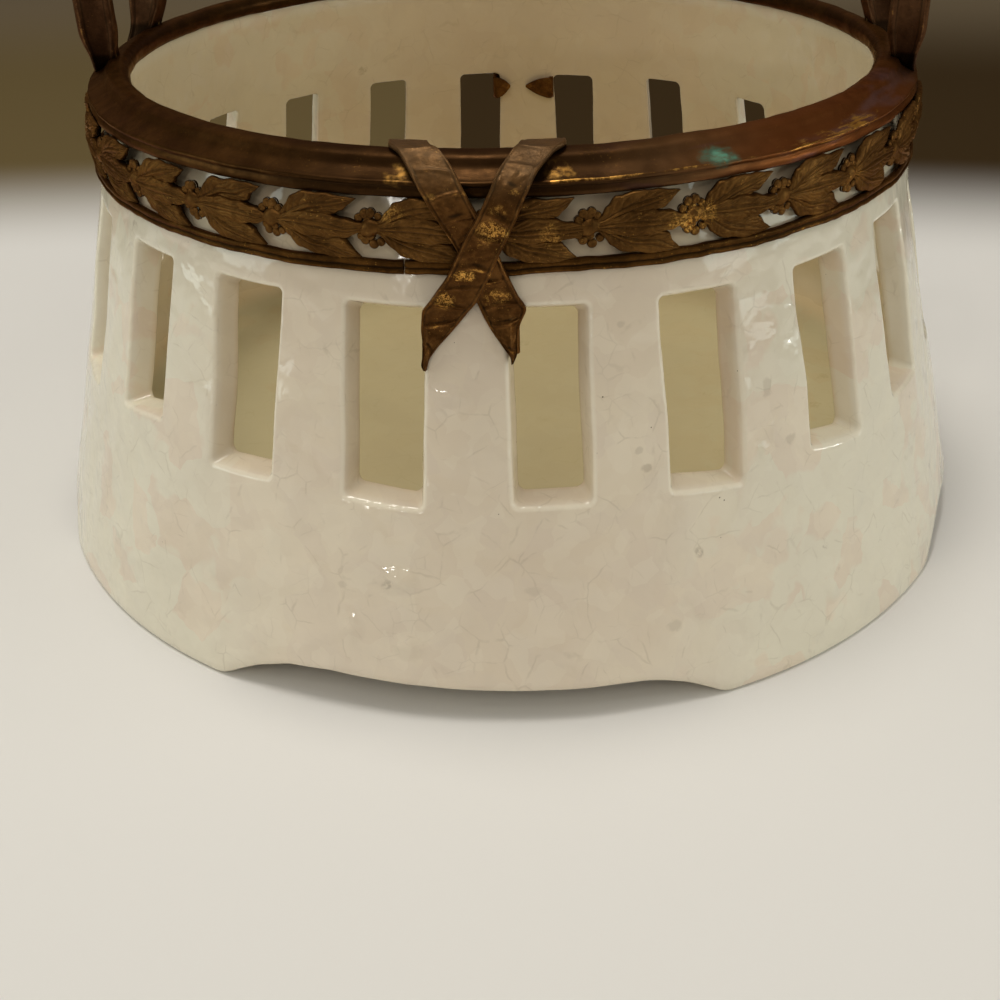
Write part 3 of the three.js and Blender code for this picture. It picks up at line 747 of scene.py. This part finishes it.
def turned(section, angles):
    """A closed section refined along its straights and turned through angles: its radii and
    heights, and its points with their directions outwards."""
    refined = []
    for (r0, z0), (r1, z1) in zip(section, section[1:] + section[:1]):
        steps = max(1, round(math.hypot(r1 - r0, z1 - z0) / 0.45))
        refined += [(lerp(r0, r1, i / steps), lerp(z0, z1, i / steps)) for i in range(steps)]
    r, z = np.array(refined).T[..., None]
    flat = polar(r, angles, z).reshape(-1, 3)
    return r, z, flat, flat * [1, 1, 0] / np.linalg.norm(flat[:, :2], axis=1)[:, None]


# The moulding's inner side is a bead, then come its top, cavetto, fascia and underside
BEAD = [(79.65 + 2.05 * math.cos(a), 98 + 2.05 * math.sin(a))
        for a in np.radians(range(220, 89, -13))]
TOP_SECTION = [
    (80.6, 99.95), (81.5, 99.7), (82.1, 99.42), (82.45, 99.05), (82.75, 98.5), (83.2, 97.95),
    (83.9, 97.45), (84.7, 97.05), (85.4, 96.72), (85.75, 96.6), (86.1, 96.5), (86.35, 96.2),
    (86.32, 95.9), (86.05, 95.7), (86.05, 95.4), (86.2, 95.2), (86.3, 94.7), (86.38, 94.1),
]
MOULDING_SECTION = BEAD + TOP_SECTION + [
    (86.2, 93.85), (84.2, 93.9), (83.7, 95.5), (83.2, 97.0), (82.6, 97.65), (80.2, 97.6),
    (79.3, 97.2), (79.1, 96.2), (78.7, 96.1),
]


def make_moulding():
    columns = 480
    angles = np.arange(columns) * 360 / columns
    r, z, flat, outwards = turned(MOULDING_SECTION, angles)
    dent = 0.07 * waves(flat, 17, 51) + 0.035 * waves(flat, 5, 52)
    flat = flat + outwards * dent[:, None]
    flat[:, 2] += 0.06 * waves(flat, 30, 53) + 0.03 * waves(flat, 7, 54)
    # Along the lower arris: worn gilding and a painted highlight, strongest from 10 to 52 degrees
    gilt_and_highlight = np.interp((angles + 180) % 360 - 180, [-180, 8.5, 10, 24, 32, 42, 52, 58, 180],
                     [0.35, 0.35, 1.75, 1.5, 0.7, 1.2, 1.2, 0.4, 0.35])
    arris = gilt_and_highlight * np.exp(-((r - 86.22) ** 2 + (z - 96.4) ** 2) / 0.10)
    # Painted highlight along the top of the lip
    lip = np.exp(-((r - 82.2) ** 2 + (z - 99.35) ** 2) / 0.25) * 0.3
    groove = np.exp(-((r - 86.05) ** 2 + (z - 95.55) ** 2) / 0.05)
    # Darker in the groove and on the inner bead, which faces into the bowl: painted shade, with
    # patina in the groove
    low = np.maximum(groove * 0.8, 0.55 * smoothstep(-r, -79.6, -78.2))
    surface = Surface()
    surface.grid(flat.reshape(len(r), columns, 3), True, high=arris + lip, low=low)
    last = (len(r) - 1) * columns
    surface.faces += [
        (last + j, last + (j + 1) % columns, (j + 1) % columns, j) for j in range(columns)]
    surface.build("rim_gallery_moulding", "rim_moulding", MOULDING_BRONZE)


BAND_SECTION = [
    (86.45, 80.95), (87.0, 80.9), (87.35, 81.1), (87.45, 81.4), (87.35, 81.7), (87.12, 81.88),
    (87.1, 82.02), (87.28, 82.15), (87.38, 82.5), (87.32, 82.9), (87.1, 83.15), (86.5, 83.25),
]


def make_band(name, node, start):
    angles = start + np.linspace(0.1, 179.9, 300)
    r, z, flat, outwards = turned(BAND_SECTION, angles)
    flat[:, 2] += 0.09 * waves(flat, 14, 61) + 0.05 * waves(flat, 4, 62)
    flat = flat + outwards * (0.06 * waves(flat, 9, 63))[:, None]
    shaped = flat.reshape(len(r), len(angles), 3)
    # Painted highlight on the outermost bead, painted shade in the groove
    high = np.exp(-((r - 87.45) ** 2) / 0.01) * 0.6
    low = np.exp(-((z - 81.95) ** 2) / 0.02)
    surface = Surface()
    closed, high, low = (np.concatenate([each, each[:1]]) for each in (shaped, high, low))
    surface.grid(closed, high=high, low=low)
    for end in (0, -1):
        surface.cap(shaped[:, end])
    surface.build(name, node, BAND_BRONZE)


# Each leaf of a sprig: its upper and lower edges from base to tip as [along, height],
# and how far its face stands out
LEAVES = (
    (((0.3, 89.4), (1.8, 90.3), (2.8, 91.8), (4.6, 93.3), (8.2, 93.8), (12, 93.7), (15.6, 93.5)),
     ((0.5, 88.6), (3.5, 88.9), (7, 89.6), (10.4, 90.1), (12.7, 90.7), (13.9, 91.9), (15.6, 93.5)),
     0.85),
    (((0.5, 88.7), (3.5, 88.3), (7, 87.4), (10.6, 86.8), (13.2, 86.4), (14.4, 85.0), (16.0, 83.3)),
     ((0.3, 88.0), (1.6, 87.4), (2.9, 85.9), (4.6, 84.2), (8, 83.2), (12, 83.0), (16.0, 83.3)),
     0.8),
    (((0.9, 88.9), (3.2, 90), (6.6, 90.75), (10.4, 90.6), (13.6, 90), (16.4, 89.3), (18.3, 88.6)),
     ((0.9, 88.3), (3.2, 87.3), (6.6, 86.5), (10.4, 86.5), (13.6, 86.9), (16.4, 87.7),
      (18.3, 88.6)),
     1.25),
)
# The berries, as along, height and radius
BERRIES = (
    (-2.2, 90.0, 0.8), (-1.2, 90.9, 0.85), (0.2, 91.2, 0.85), (1.2, 90.5, 0.7), (-0.4, 90.1, 0.8),
    (-1.9, 87.2, 0.75), (-1.1, 86.3, 0.85), (0.3, 85.9, 0.85), (1.5, 86.5, 0.75), (-0.1, 87.1, 0.8),
)


def on_frieze(start, u, z, out):
    return polar(FRIEZE_BACK + out, start + u * 360 / SPRIGS / SPRIG_PITCH, z)


def add_leaf(surface, start, leaf, random):
    """A cast leaf with a raised rib, slanting veins, a fine raised edge and thick sides."""
    upper_edge, lower_edge, stand = leaf
    shift = random.uniform(-0.22, 0.22, (7, 2)) * np.linspace(0.3, 1, 7)[:, None]
    along = np.linspace(0, 1, 84)
    upper, lower = spline(upper_edge + shift, along), spline(lower_edge + shift, along)
    t, side = np.meshgrid(along, np.linspace(-1, 1, 25), indexing="ij")
    off = np.abs(side)
    place = lerp(lower[:, None], upper[:, None], (side[..., None] + 1) / 2)
    wavy = 0.16 * np.sin(t * 34 + random.uniform(0, 6)) * off ** 3 * np.sign(side)
    place[..., 1] = np.clip(place[..., 1] + wavy * np.sin(np.pi * t), 83.0, 93.9)
    wide = np.sin(np.pi * np.clip(t * 0.9 + 0.06, 0, 1)) ** 0.7
    off_rib = np.abs(side - 0.12 * np.sin(t * 5 + random.uniform(0, 6)))
    cup = 0.42 * np.cos(np.clip(off, 0, 1) * math.pi / 2) ** 0.7
    rib = 0.3 * hump(off_rib, 0, 0.10) * (1 - 0.6 * t)
    groove = -0.24 * hump(off_rib, 0.22, 0.09) * (1 - 0.5 * t)
    bend = 0.06 * waves(place.reshape(-1, 2) @ [[1, 0, 0], [0, 1, 0]], 3, 301).reshape(t.shape)
    slant = (t * 8.5 - off_rib * 2.6 + 3 * bend + random.uniform(0, 1)) * 2 * math.pi
    veins = np.sin(slant) + 0.45 * np.sin(2.3 * slant + 1)
    veins = veins * smoothstep(off_rib, 0.15, 0.4) * (1 - smoothstep(off, 0.8, 0.97))
    lip = 0.1 * hump(off, 0.9, 0.06)
    sway = 0.12 * np.sin(t * 5.5 + side * 1.5 + random.uniform(0, 6))
    out = stand + (cup + rib + groove + 0.1 * veins + lip + sway) * wide
    out = out - 0.3 * smoothstep(t, 0.8, 1.0) - 0.35 * smoothstep(off, 0.93, 1.0)
    top = on_frieze(start, place[..., 0], place[..., 1], np.clip(out, 0.3, 1.85))
    # Painted highlight on the rib, vein ridges, edge and base; painted shade in the grooves and
    # vein troughs
    high = 0.4 * hump(off_rib, 0, 0.12) + 0.3 * smoothstep(veins, 0.3, 1.1)
    high = high + 0.3 * (lip > 0.05) + 0.3 * (1 - smoothstep(t, 0.05, 0.3))
    low = 0.6 * hump(off_rib, 0.22, 0.08) + 0.45 * smoothstep(-veins, 0.2, 1.1)
    surface.grid(top, high=high, low=low)
    # Painted shade down the leaf's sides towards the wall
    for picked in ((slice(None), 0), (slice(None), -1), (0, slice(None)), (-1, slice(None))):
        foot = on_frieze(start, place[picked][..., 0], place[picked][..., 1], 0.0)
        surface.strip(top[picked], foot, low=np.array([[0.25], [1.0]]))


def add_berry(surface, start, u, z, radius, random):
    """A small berry with a pip at its end."""
    turn = np.linspace(0, 2 * math.pi, 17)
    tilt = quarter(8)[:, None]
    lean = random.uniform(-0.25, 0.25, 2)
    ring_radius = radius * np.cos(tilt)
    out = 0.5 + radius * 0.62 * np.sin(tilt)
    out = out - 0.22 * hump(tilt, math.pi / 2, 0.3)
    x = u + ring_radius * np.cos(turn) + lean[0] * np.sin(tilt)
    y = z + ring_radius * np.sin(turn) + lean[1] * np.sin(tilt)
    # Painted highlight on the berry's top, painted shade round its edge and on its sides
    high = smoothstep(tilt, 0.5, 1.1) * 0.3
    low = 0.9 * (1 - smoothstep(tilt, 0.0, 0.7))
    surface.grid(on_frieze(start, x, y, out), high=high, low=low)
    x, y = u + radius * np.cos(turn), z + radius * np.sin(turn)
    surface.strip(
        on_frieze(start, x, y, 0.45), on_frieze(start, x, y, 0.0), low=np.array([[0.5], [1.0]]))


def add_stem(surface, start):
    """The stem that runs on under the leaves from one sprig to the next."""
    u = np.linspace(-1.6, 4.5, 16)[:, None]
    turn = np.linspace(-0.2, math.pi + 0.2, 9)
    radius = 0.8 + 0.9 * hump(u, -0.3, 1.3)
    z = 88.65 + 0.25 * np.sin(u * 0.7)
    y = z + radius * np.cos(turn)
    out = 0.45 + (0.55 * radius + 0.35) * np.sin(turn)
    # The stem is lightened all over, as wear and painted highlight
    surface.grid(on_frieze(start, u, y, out), high=0.45)


def make_frieze(index):
    surface = Surface()
    per_length = SPRIGS // FRIEZE_LENGTHS
    pitch = 360 / SPRIGS
    for i in range(per_length):
        start = FIRST_SPRIG + (index * per_length + i) * pitch
        random = np.random.default_rng(200 + index * per_length + i)
        add_stem(surface, start)
        for leaf in LEAVES:
            add_leaf(surface, start, leaf, random)
        for u, z, radius in BERRIES:
            shift = random.uniform(-0.2, 0.2, 2)
            add_berry(surface, start, u + shift[0], z + shift[1], radius, random)
    surface.build(f"laurel_length_{index + 1}", f"laurel_frieze_{index + 1}", LAUREL_BRONZE)


# Rows of a ribbon from its end in the bowl to its tail: height and angle of its left edge, then
# of its right edge. Above RIBBON_TOP the height is the way travelled over the rim.
RIBBON_ROWS = {
    "under": [
        (107.4, -9.4, 107.4, -4.9), (102.5, -8.9, 102.5, -3.9), (100.1, -7.2, 100.6, -2.4),
        (97, -5.2, 97.6, -0.5), (93.1, -3.3, 93.6, 1.25), (89.1, -1.6, 89.4, 2.85),
        (84.8, -0.1, 85, 4.0), (80.6, 0.65, 81.3, 4.95), (77.2, 1.3, 77.8, 5.95),
        (74.3, 2.1, 75.2, 6.85), (71.8, 3.0, 72.3, 6.15), (69.2, 4.15, 69.6, 5.85),
        (67.4, 4.95, 67.6, 5.75), (66.1, 5.1, 66.2, 5.3),
    ],
    "over": [
        (107.4, 7.2, 107.4, 12.5), (102.5, 6.4, 102.5, 12), (100.6, 5.6, 100.1, 10.3),
        (97.6, 4.1, 97, 8.1), (93.6, 2.5, 93.1, 6.4), (89.4, 0.85, 88.9, 5.1),
        (85, -0.5, 84.6, 3.75), (81.2, -1.85, 80.6, 2.6), (77.6, -3.4, 77, 1.45),
        (74.6, -4.6, 74, 0.05), (71.9, -4.88, 71.2, -1.5), (69.4, -4.68, 68.8, -2.9),
        (67.2, -4.68, 66.9, -3.75), (65.6, -4.78, 65.5, -4.05), (64.8, -4.5, 64.8, -4.2),
    ],
}
# Past these angles a ribbon's tail turns back round the edge of its post
POST_EDGE = {"under": 4.9, "over": 3.9}
# The line that the ribbons lie on: [height, radius] outside, then [radius, height] over the rim
FALL = [(76, 0.45), (80.7, 87.8), (83.5, 88.3), (93, 88.3), (96.4, 86.85), (RIBBON_TOP, 82.75)]
OVER_RIM = np.array(
    [(82.75, RIBBON_TOP), (79.7, 100.55), (78.0, 100.0), (77.1, 98.9), (77.05, 97.0)])
# How far a ribbon's end reaches behind its post, in degrees
CLASP_REACH = {"under": 2.4, "over": 4.4}


def travelled(points):
    """Distance along a line of points, from its start."""
    return np.concatenate([[0], np.cumsum(np.linalg.norm(np.diff(points, axis=0), axis=1))])


def ribbon_line(h):
    """[radius, height] on the ribbons' line, for an array of distances h."""
    wall = outer_radius(h) + 0.45
    heights = [height for height, _ in FALL]
    radii = [outer_radius(76) + 0.45] + [radius for _, radius in FALL[1:]]
    r = np.where(h <= 76, wall, np.interp(h, heights, radii))
    past = h - RIBBON_TOP
    over = [np.interp(past, travelled(OVER_RIM), axis) for axis in OVER_RIM.T]
    return np.where(past > 0, over, [r, h])


def soft_ribbon_line(h):
    """The same line with its corners eased."""
    offsets = np.linspace(-1.1, 1.1, 7)
    return sum(ribbon_line(h + offset) for offset in offsets) / len(offsets)


def ribbon_points(h, degrees, out):
    r, z = soft_ribbon_line(h)
    r0, z0 = soft_ribbon_line(h - 0.4)
    r1, z1 = soft_ribbon_line(h + 0.4)
    length = np.hypot(r1 - r0, z1 - z0)
    return polar(r + out * (z1 - z0) / length, degrees, z - out * (r1 - r0) / length)


def spline(rows, values):
    """Catmull-Rom through rows, at values from 0 to 1."""
    rows = np.array(rows, dtype=float)
    padded = np.vstack([2 * rows[0] - rows[1], rows, 2 * rows[-1] - rows[-2]])
    at = np.clip(values, 0, 1) * (len(rows) - 1)
    i = np.minimum(at.astype(int), len(rows) - 2)
    t = (at - i)[:, None]
    a, b, c, d = padded[i], padded[i + 1], padded[i + 2], padded[i + 3]
    return 0.5 * (2 * b + (c - a) * t + (2 * a - 5 * b + 4 * c - d) * t ** 2
                  + (3 * b - a - 3 * c + d) * t ** 3)


def crossing_lift(h):
    return 1.45 * smoothstep(h, 72.5, 77.5) * (1 - smoothstep(h, 96, 100))


def turn_back(layer, h, degrees):
    """How far a tail's outer edge falls back round the edge of the post."""
    side = 1 if layer == "under" else -1
    past = smoothstep(side * degrees, POST_EDGE[layer], POST_EDGE[layer] + 1.0)
    return 1.3 * past * (1 - smoothstep(h, 73.5, 76))


def ribbon_face(x, along, random):
    """How far a ribbon's face stands out, and its marks: borders, cast folds, wear with painted
    highlight on raised parts, and painted shade beside each fold.
    """
    side = np.abs(2 * x - 1)
    flat = np.stack(np.broadcast_arrays(9.0 * x, along, 0.0), axis=-1)
    border = 0.24 * smoothstep(side, 0.82, 0.87) * (1 - smoothstep(side, 0.97, 1.0))
    out = border + 0.035 * waves(flat, 2.2, 401) + 0.02 * waves(flat, 1.1, 402)
    # Painted highlight on the raised borders and painted shade just inside them
    high = 0.42 * smoothstep(side, 0.83, 0.9) + 0.14 * waves(flat, 5, 403)
    low = 0.6 * hump(side, 0.78, 0.05)
    low = low + 0.2 * smoothstep(waves(flat, 3, 404), 0.4, 1.6)
    folds = np.cumsum(random.uniform(3.6, 5.2, 13)) - 1.0
    for place in folds:
        lean = random.uniform(-1.1, 1.1)
        bend = random.uniform(-0.9, 0.9)
        distance = along - place - lean * (2 * x - 1) - bend * (2 * x - 1) ** 2
        shape = hump(distance, 0, 0.32) * (1 - smoothstep(side, 0.66, 0.84))
        out = out + random.uniform(0.26, 0.42) * shape
        centre = random.uniform(-0.5, 0.5)
        rubbed = hump(2 * x - 1, centre, random.uniform(0.3, 0.7))
        spread = hump(distance, 0.2, random.uniform(0.35, 0.8))
        amount = random.uniform(0.45, 1.2) * (1.2 if place > 18 else 0.75)
        high = high + amount * rubbed * spread
        # Painted shade on one side of each fold
        low = low + 0.75 * hump(distance, -0.65, 0.3) * (1 - side)
    over_rim = smoothstep(-along, -14, -9)
    return out * (1 - 0.75 * over_rim), high, low * (1 - 0.5 * over_rim)


def add_ribbon_strip(surface, layer, random):
    columns = spline(RIBBON_ROWS[layer], np.linspace(0, 1, 260))
    across = np.linspace(0, 1, 41)
    h = lerp(columns[:, 0:1], columns[:, 2:3], across)
    degrees = lerp(columns[:, 1:2], columns[:, 3:4], across)
    middle = ribbon_points(h[:, 20], degrees[:, 20], 0)
    face, high, low = ribbon_face(across, travelled(middle)[:, None], random)
    edge = np.sqrt(np.clip(1 - smoothstep(np.abs(2 * across - 1), 0.9, 1.0) ** 2, 0, 1))
    thick = (RIBBON_THICKNESS - 0.2) * (0.45 + 0.55 * edge)
    lift = crossing_lift(h) if layer == "over" else 0
    under = lift - turn_back(layer, h, degrees)
    front = ribbon_points(h, degrees, under + thick + face * edge)
    back = ribbon_points(h, degrees, under)
    surface.grid(front, high=high, low=low)
    # Painted shade on the back and sides, which face the wall
    surface.grid(back[:, ::-1], low=0.8)
    for j in (0, -1):
        surface.strip(front[:, j], back[:, j], low=np.array([[0.2], [0.8]]), high=0.3)
    for i in (0, -1):
        surface.strip(front[i], back[i], low=0.4)


def add_clasp(surface, side, reach):
    """The end of a ribbon bent round the edge of a post to a point on its inner face."""
    clear = 0.45
    wall = WALL_THICKNESS
    outer, inner = (4.6, 5.6) if side > 0 else (3.75, 4.65)
    bend = [
        (outer, -0.35, 68.6, 73.0),
        (outer + 0.15, 0.1, 67.6, 73.0),
        (outer + 0.3, 1.4, 66.8, 72.4),
        (inner, wall + 0.1, 65.6, 71.4),
        (inner - 0.25, wall + clear, 65.4, 71.2),
        (inner - 0.25 - reach, wall + clear + 0.1, 68.6, 69.0),
    ]
    knots = np.array([0, 0.08, 0.3, 0.5, 0.6, 1.0])
    f = np.linspace(0, 1, 60)
    degrees, depth, low_edge, high_edge = (
        np.interp(f, knots, [row[k] for row in bend]) for k in range(4))
    bulge = 0.5 * np.sin(np.clip((f - 0.6) / 0.4, 0, 1) * math.pi)
    low_edge, high_edge = low_edge - bulge, high_edge + bulge
    across = np.linspace(0, 1, 9)
    z = lerp(low_edge[:, None], high_edge[:, None], across)
    radius = outer_radius(z) - depth[:, None]
    run = np.gradient(np.radians(degrees)) * radius[:, 4]
    rise = np.gradient(depth)
    length = np.hypot(run, rise)
    layers = []
    for off in (0.0, RIBBON_THICKNESS - 0.1):
        turned = np.degrees((off * rise / length)[:, None] / radius)
        r = radius + (off * run / length)[:, None]
        layers.append(polar(r, side * (degrees[:, None] + turned), z))
    inner_face, outer_face = layers
    # Painted highlight on the outer face and sides, painted shade on the inner face against the
    # post
    surface.grid(outer_face, high=0.6)
    surface.grid(inner_face, low=0.8)
    for j in (0, -1):
        surface.strip(outer_face[:, j], inner_face[:, j], high=0.6)
    for i in (0, -1):
        surface.strip(outer_face[i], inner_face[i])


def make_ribbon(place, layer, facing, seed):
    surface = Surface()
    add_ribbon_strip(surface, layer, np.random.default_rng(seed))
    add_clasp(surface, 1 if layer == "under" else -1, CLASP_REACH[layer])
    surface.build(
        f"ribbon_{layer}_{place}", f"ribbon_{place}_{layer}", RIBBON_BRONZE,
        displace=lambda points: points * (facing, facing, 1))


def rim_surface(radius):
    """Height of the moulding's top at a radius."""
    top = BEAD[-3:] + TOP_SECTION
    return np.interp(radius, [r for r, _ in top], [z for _, z in top])


def make_handle(name, node, degrees):
    """A ring of strap with a sunk panel between two beads, standing on the moulding."""
    half = (HANDLE_OUTER - HANDLE_INNER) / 2
    across = [-0.5, -0.495, -0.46, -0.40, -0.34, -0.30, -0.24, -0.12, 0.0]
    sunk = [-1.0, -0.35, -0.1, 0.0, -0.1, -0.32, -0.42, -0.46, -0.47]
    outline = [(a, half + d) for a, d in zip(across, sunk)]
    outline += [(-a, up) for a, up in outline[-2::-1]]
    outline += [(a, -up) for a, up in outline[::-1]]
    across, up = np.array(outline).T
    turn = np.radians(np.linspace(-146, 146, 150))[:, None]
    distance = (HANDLE_INNER + HANDLE_OUTER) / 2 + up
    z = HANDLE_CENTRE + distance * np.cos(turn)
    width = lerp(5.0, 7.4, smoothstep(z, RIM_HEIGHT - 1, RIM_HEIGHT + 6))
    radius = HANDLE_RADIUS + across * width
    along = np.degrees(distance * np.sin(turn) / HANDLE_RADIUS)
    z = np.maximum(z, rim_surface(radius) - 0.35)
    points = polar(radius, degrees + along, z)
    bead = hump(np.abs(across), 0.4, 0.04) * 0.8
    groove = hump(np.abs(across), 0.29, 0.03) * 0.7
    surface = Surface()
    # Painted highlight on the beads; painted shade in the grooves and at the foot where it meets
    # the moulding
    foot = smoothstep(-z, -101.6, -99.8)
    surface.grid(points, True, high=bead, low=np.maximum(groove, foot))
    for end in (0, -1):
        surface.cap(points[end])
    surface.build(name, node, HANDLE_BRONZE)


def make_rivet(place, turn):
    """A low round rivet head on the upper ribbon, dished in its middle."""
    tilt = quarter(10)[:, None]
    around = np.linspace(0, 2 * math.pi, 25)
    size = 0.95 * np.cos(tilt)
    dish = hump(tilt, math.pi / 2, 0.5)
    r = 90.05 + 0.35 * np.sin(tilt) - 0.35 * dish
    z = RIVET_HEIGHT + size * np.sin(around)
    angle = RIVET_ANGLE + turn + np.degrees(size * np.cos(around) / 90)
    surface = Surface()
    # Painted highlight round the rivet's edge, painted shade in its dish
    surface.grid(polar(r, angle, z), high=1.2 * (1 - dish), low=dish)
    surface.strip(polar(r[0], angle[0], z[0]), polar(86.4, angle[0], z[0]))
    surface.build(f"rivet_{place}", f"ribbon_rivet_{place}", RIBBON_BRONZE)


def finish_kept_nodes():
    """Hidden pieces keep their shape and get a finished material."""
    for name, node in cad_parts.items():
        if name == "bedding_ring" or name.startswith("handle_screw"):
            node.data.materials.clear()
            node.data.materials.append(MASTIC if name == "bedding_ring" else SCREW_BRASS)


# Stage

def make_floor():
    """Pale paper with painted shade: it falls off to brown behind the basket, less so on the left.
    """
    material, s = new_material("floor_paper")
    place = s.place()
    offset = s.vector("SUBTRACT", place, (0, -0.35, 0))
    distance = s.length(s.vector("MULTIPLY", offset, (0.6, 1, 1)))
    leftwards = s.remap(s.axes(place)[0], -0.045, -0.07)
    shade = s.mix(leftwards, (0.036, 0.020, 0.005), (0.125, 0.090, 0.036))
    # Painted shade: brown behind the basket, lighter brown on the left, and darker still far off
    colour = s.mix(s.remap(distance, 0.49, 0.60), (0.745, 0.735, 0.712), shade)
    colour = s.mix(s.remap(distance, 0.72, 0.95), colour, (0.15, 0.115, 0.07))
    s.finish(**{"Base Color": colour, "Roughness": 0.8, "Specular IOR Level": 0.12})
    half = 6.0
    corners = [(-half, -half, 0), (half, -half, 0), (half, half, 0), (-half, half, 0)]
    mesh = bpy.data.meshes.new("floor")
    mesh.from_pydata(corners, [], [(0, 1, 2, 3)])
    mesh.materials.append(material)
    floor = add_object("floor", mesh)


# Lamps as name, place, height looked at, size, power and colour
LAMPS = (
    ("key", (-0.12, 0.04, 1.15), 0, (0.5, 0.3), 5.8, (1.0, 0.96, 0.89)),
    ("front", (0.1, -1.15, 0.95), 0, (1.0, 0.5), 2.7, (1.0, 0.92, 0.80)),
    ("window_right", (0.98, -0.33, 0.26), 0.06, (0.65, 0.38), 1.7, (0.86, 0.98, 0.94)),
    ("window_left", (-0.98, -0.33, 0.26), 0.06, (0.65, 0.38), 1.85, (0.86, 0.98, 0.94)),
    ("side_left", (-0.6, -0.05, 0.72), 0.05, (0.5, 0.4), 0.95, (1.0, 0.95, 0.88)),
    ("side_right", (0.6, -0.05, 0.72), 0.05, (0.5, 0.4), 0.95, (1.0, 0.95, 0.88)),
    ("lamp_a", (-0.25, -0.65, 1.0), 0.05, (0.045, 0.045), 0.4, (1.0, 0.93, 0.83)),
    ("lamp_b", (-0.46, -1.1, 0.22), 0.04, (0.08, 0.08), 0.55, (1.0, 0.97, 0.90)),
    ("lamp_c", (1.13, -0.02, 0.15), 0.05, (0.14, 0.06), 0.9, (1.0, 0.97, 0.92)),
)
NOT_MIRRORED = ("front", "side_left", "side_right")


def make_light():
    world = bpy.data.worlds.new("studio")
    world.use_nodes = True
    world.node_tree.nodes.clear()
    s = Shader(world.node_tree)
    up = s.axes(s.node("ShaderNodeTexCoord"))[2]
    colour = s.mix(s.remap(up, 0.02, 0.75), (0.24, 0.18, 0.125), (0.60, 0.56, 0.50))
    sky = s.node("ShaderNodeBackground", {"Color": colour, "Strength": 0.34})
    s.node("ShaderNodeOutputWorld", {"Surface": sky})
    bpy.context.scene.world = world
    for name, place, aim, size, power, colour in LAMPS:
        light = bpy.data.lights.new(name, "AREA")
        light.shape = "RECTANGLE"
        light.size, light.size_y = size
        light.energy = power
        light.color = colour
        lamp = add_object(name, light)
        lamp.location = place
        direction = Vector((0, 0, aim)) - Vector(place)
        lamp.rotation_euler = direction.to_track_quat("-Z", "Y").to_euler()
        lamp.visible_camera = False
        lamp.visible_glossy = name not in NOT_MIRRORED


def make_camera():
    """A camera that looks along +Y when it isn't turned."""
    camera = bpy.data.cameras.new("camera")
    camera.lens = CAMERA_LENS
    camera.sensor_width = 36
    camera.clip_start = 0.01
    holder = add_object("camera", camera)
    turn = Matrix.Identity(4)
    for degrees, axis in ((-CAMERA_YAW, "Z"), (90 - CAMERA_PITCH, "X"), (CAMERA_ROLL, "Z")):
        turn = turn @ Matrix.Rotation(math.radians(degrees), 4, axis)
    holder.matrix_world = Matrix.Translation(Vector(CAMERA_PLACE) * MM) @ turn
    bpy.context.scene.camera = holder


make_camera()
make_floor()
make_light()
bpy.context.scene.view_settings.view_transform = "Standard"

make_body()
make_moulding()
make_band("gallery_band_right", "lower_band_right", BAND_JOINT)
make_band("gallery_band_left", "lower_band_left", BAND_JOINT + 180)
make_handle("ring_handle_left", "handle_left", -90)
make_handle("ring_handle_right", "handle_right", 90)
for frieze_length in range(FRIEZE_LENGTHS):
    make_frieze(frieze_length)
for side_name, side_turn, side_facing in (("front", 0, 1), ("back", 180, -1)):
    make_ribbon(side_name, "under", side_facing, 71 + side_turn)
    make_ribbon(side_name, "over", side_facing, 83 + side_turn)
    make_rivet(side_name, side_turn)
finish_kept_nodes()
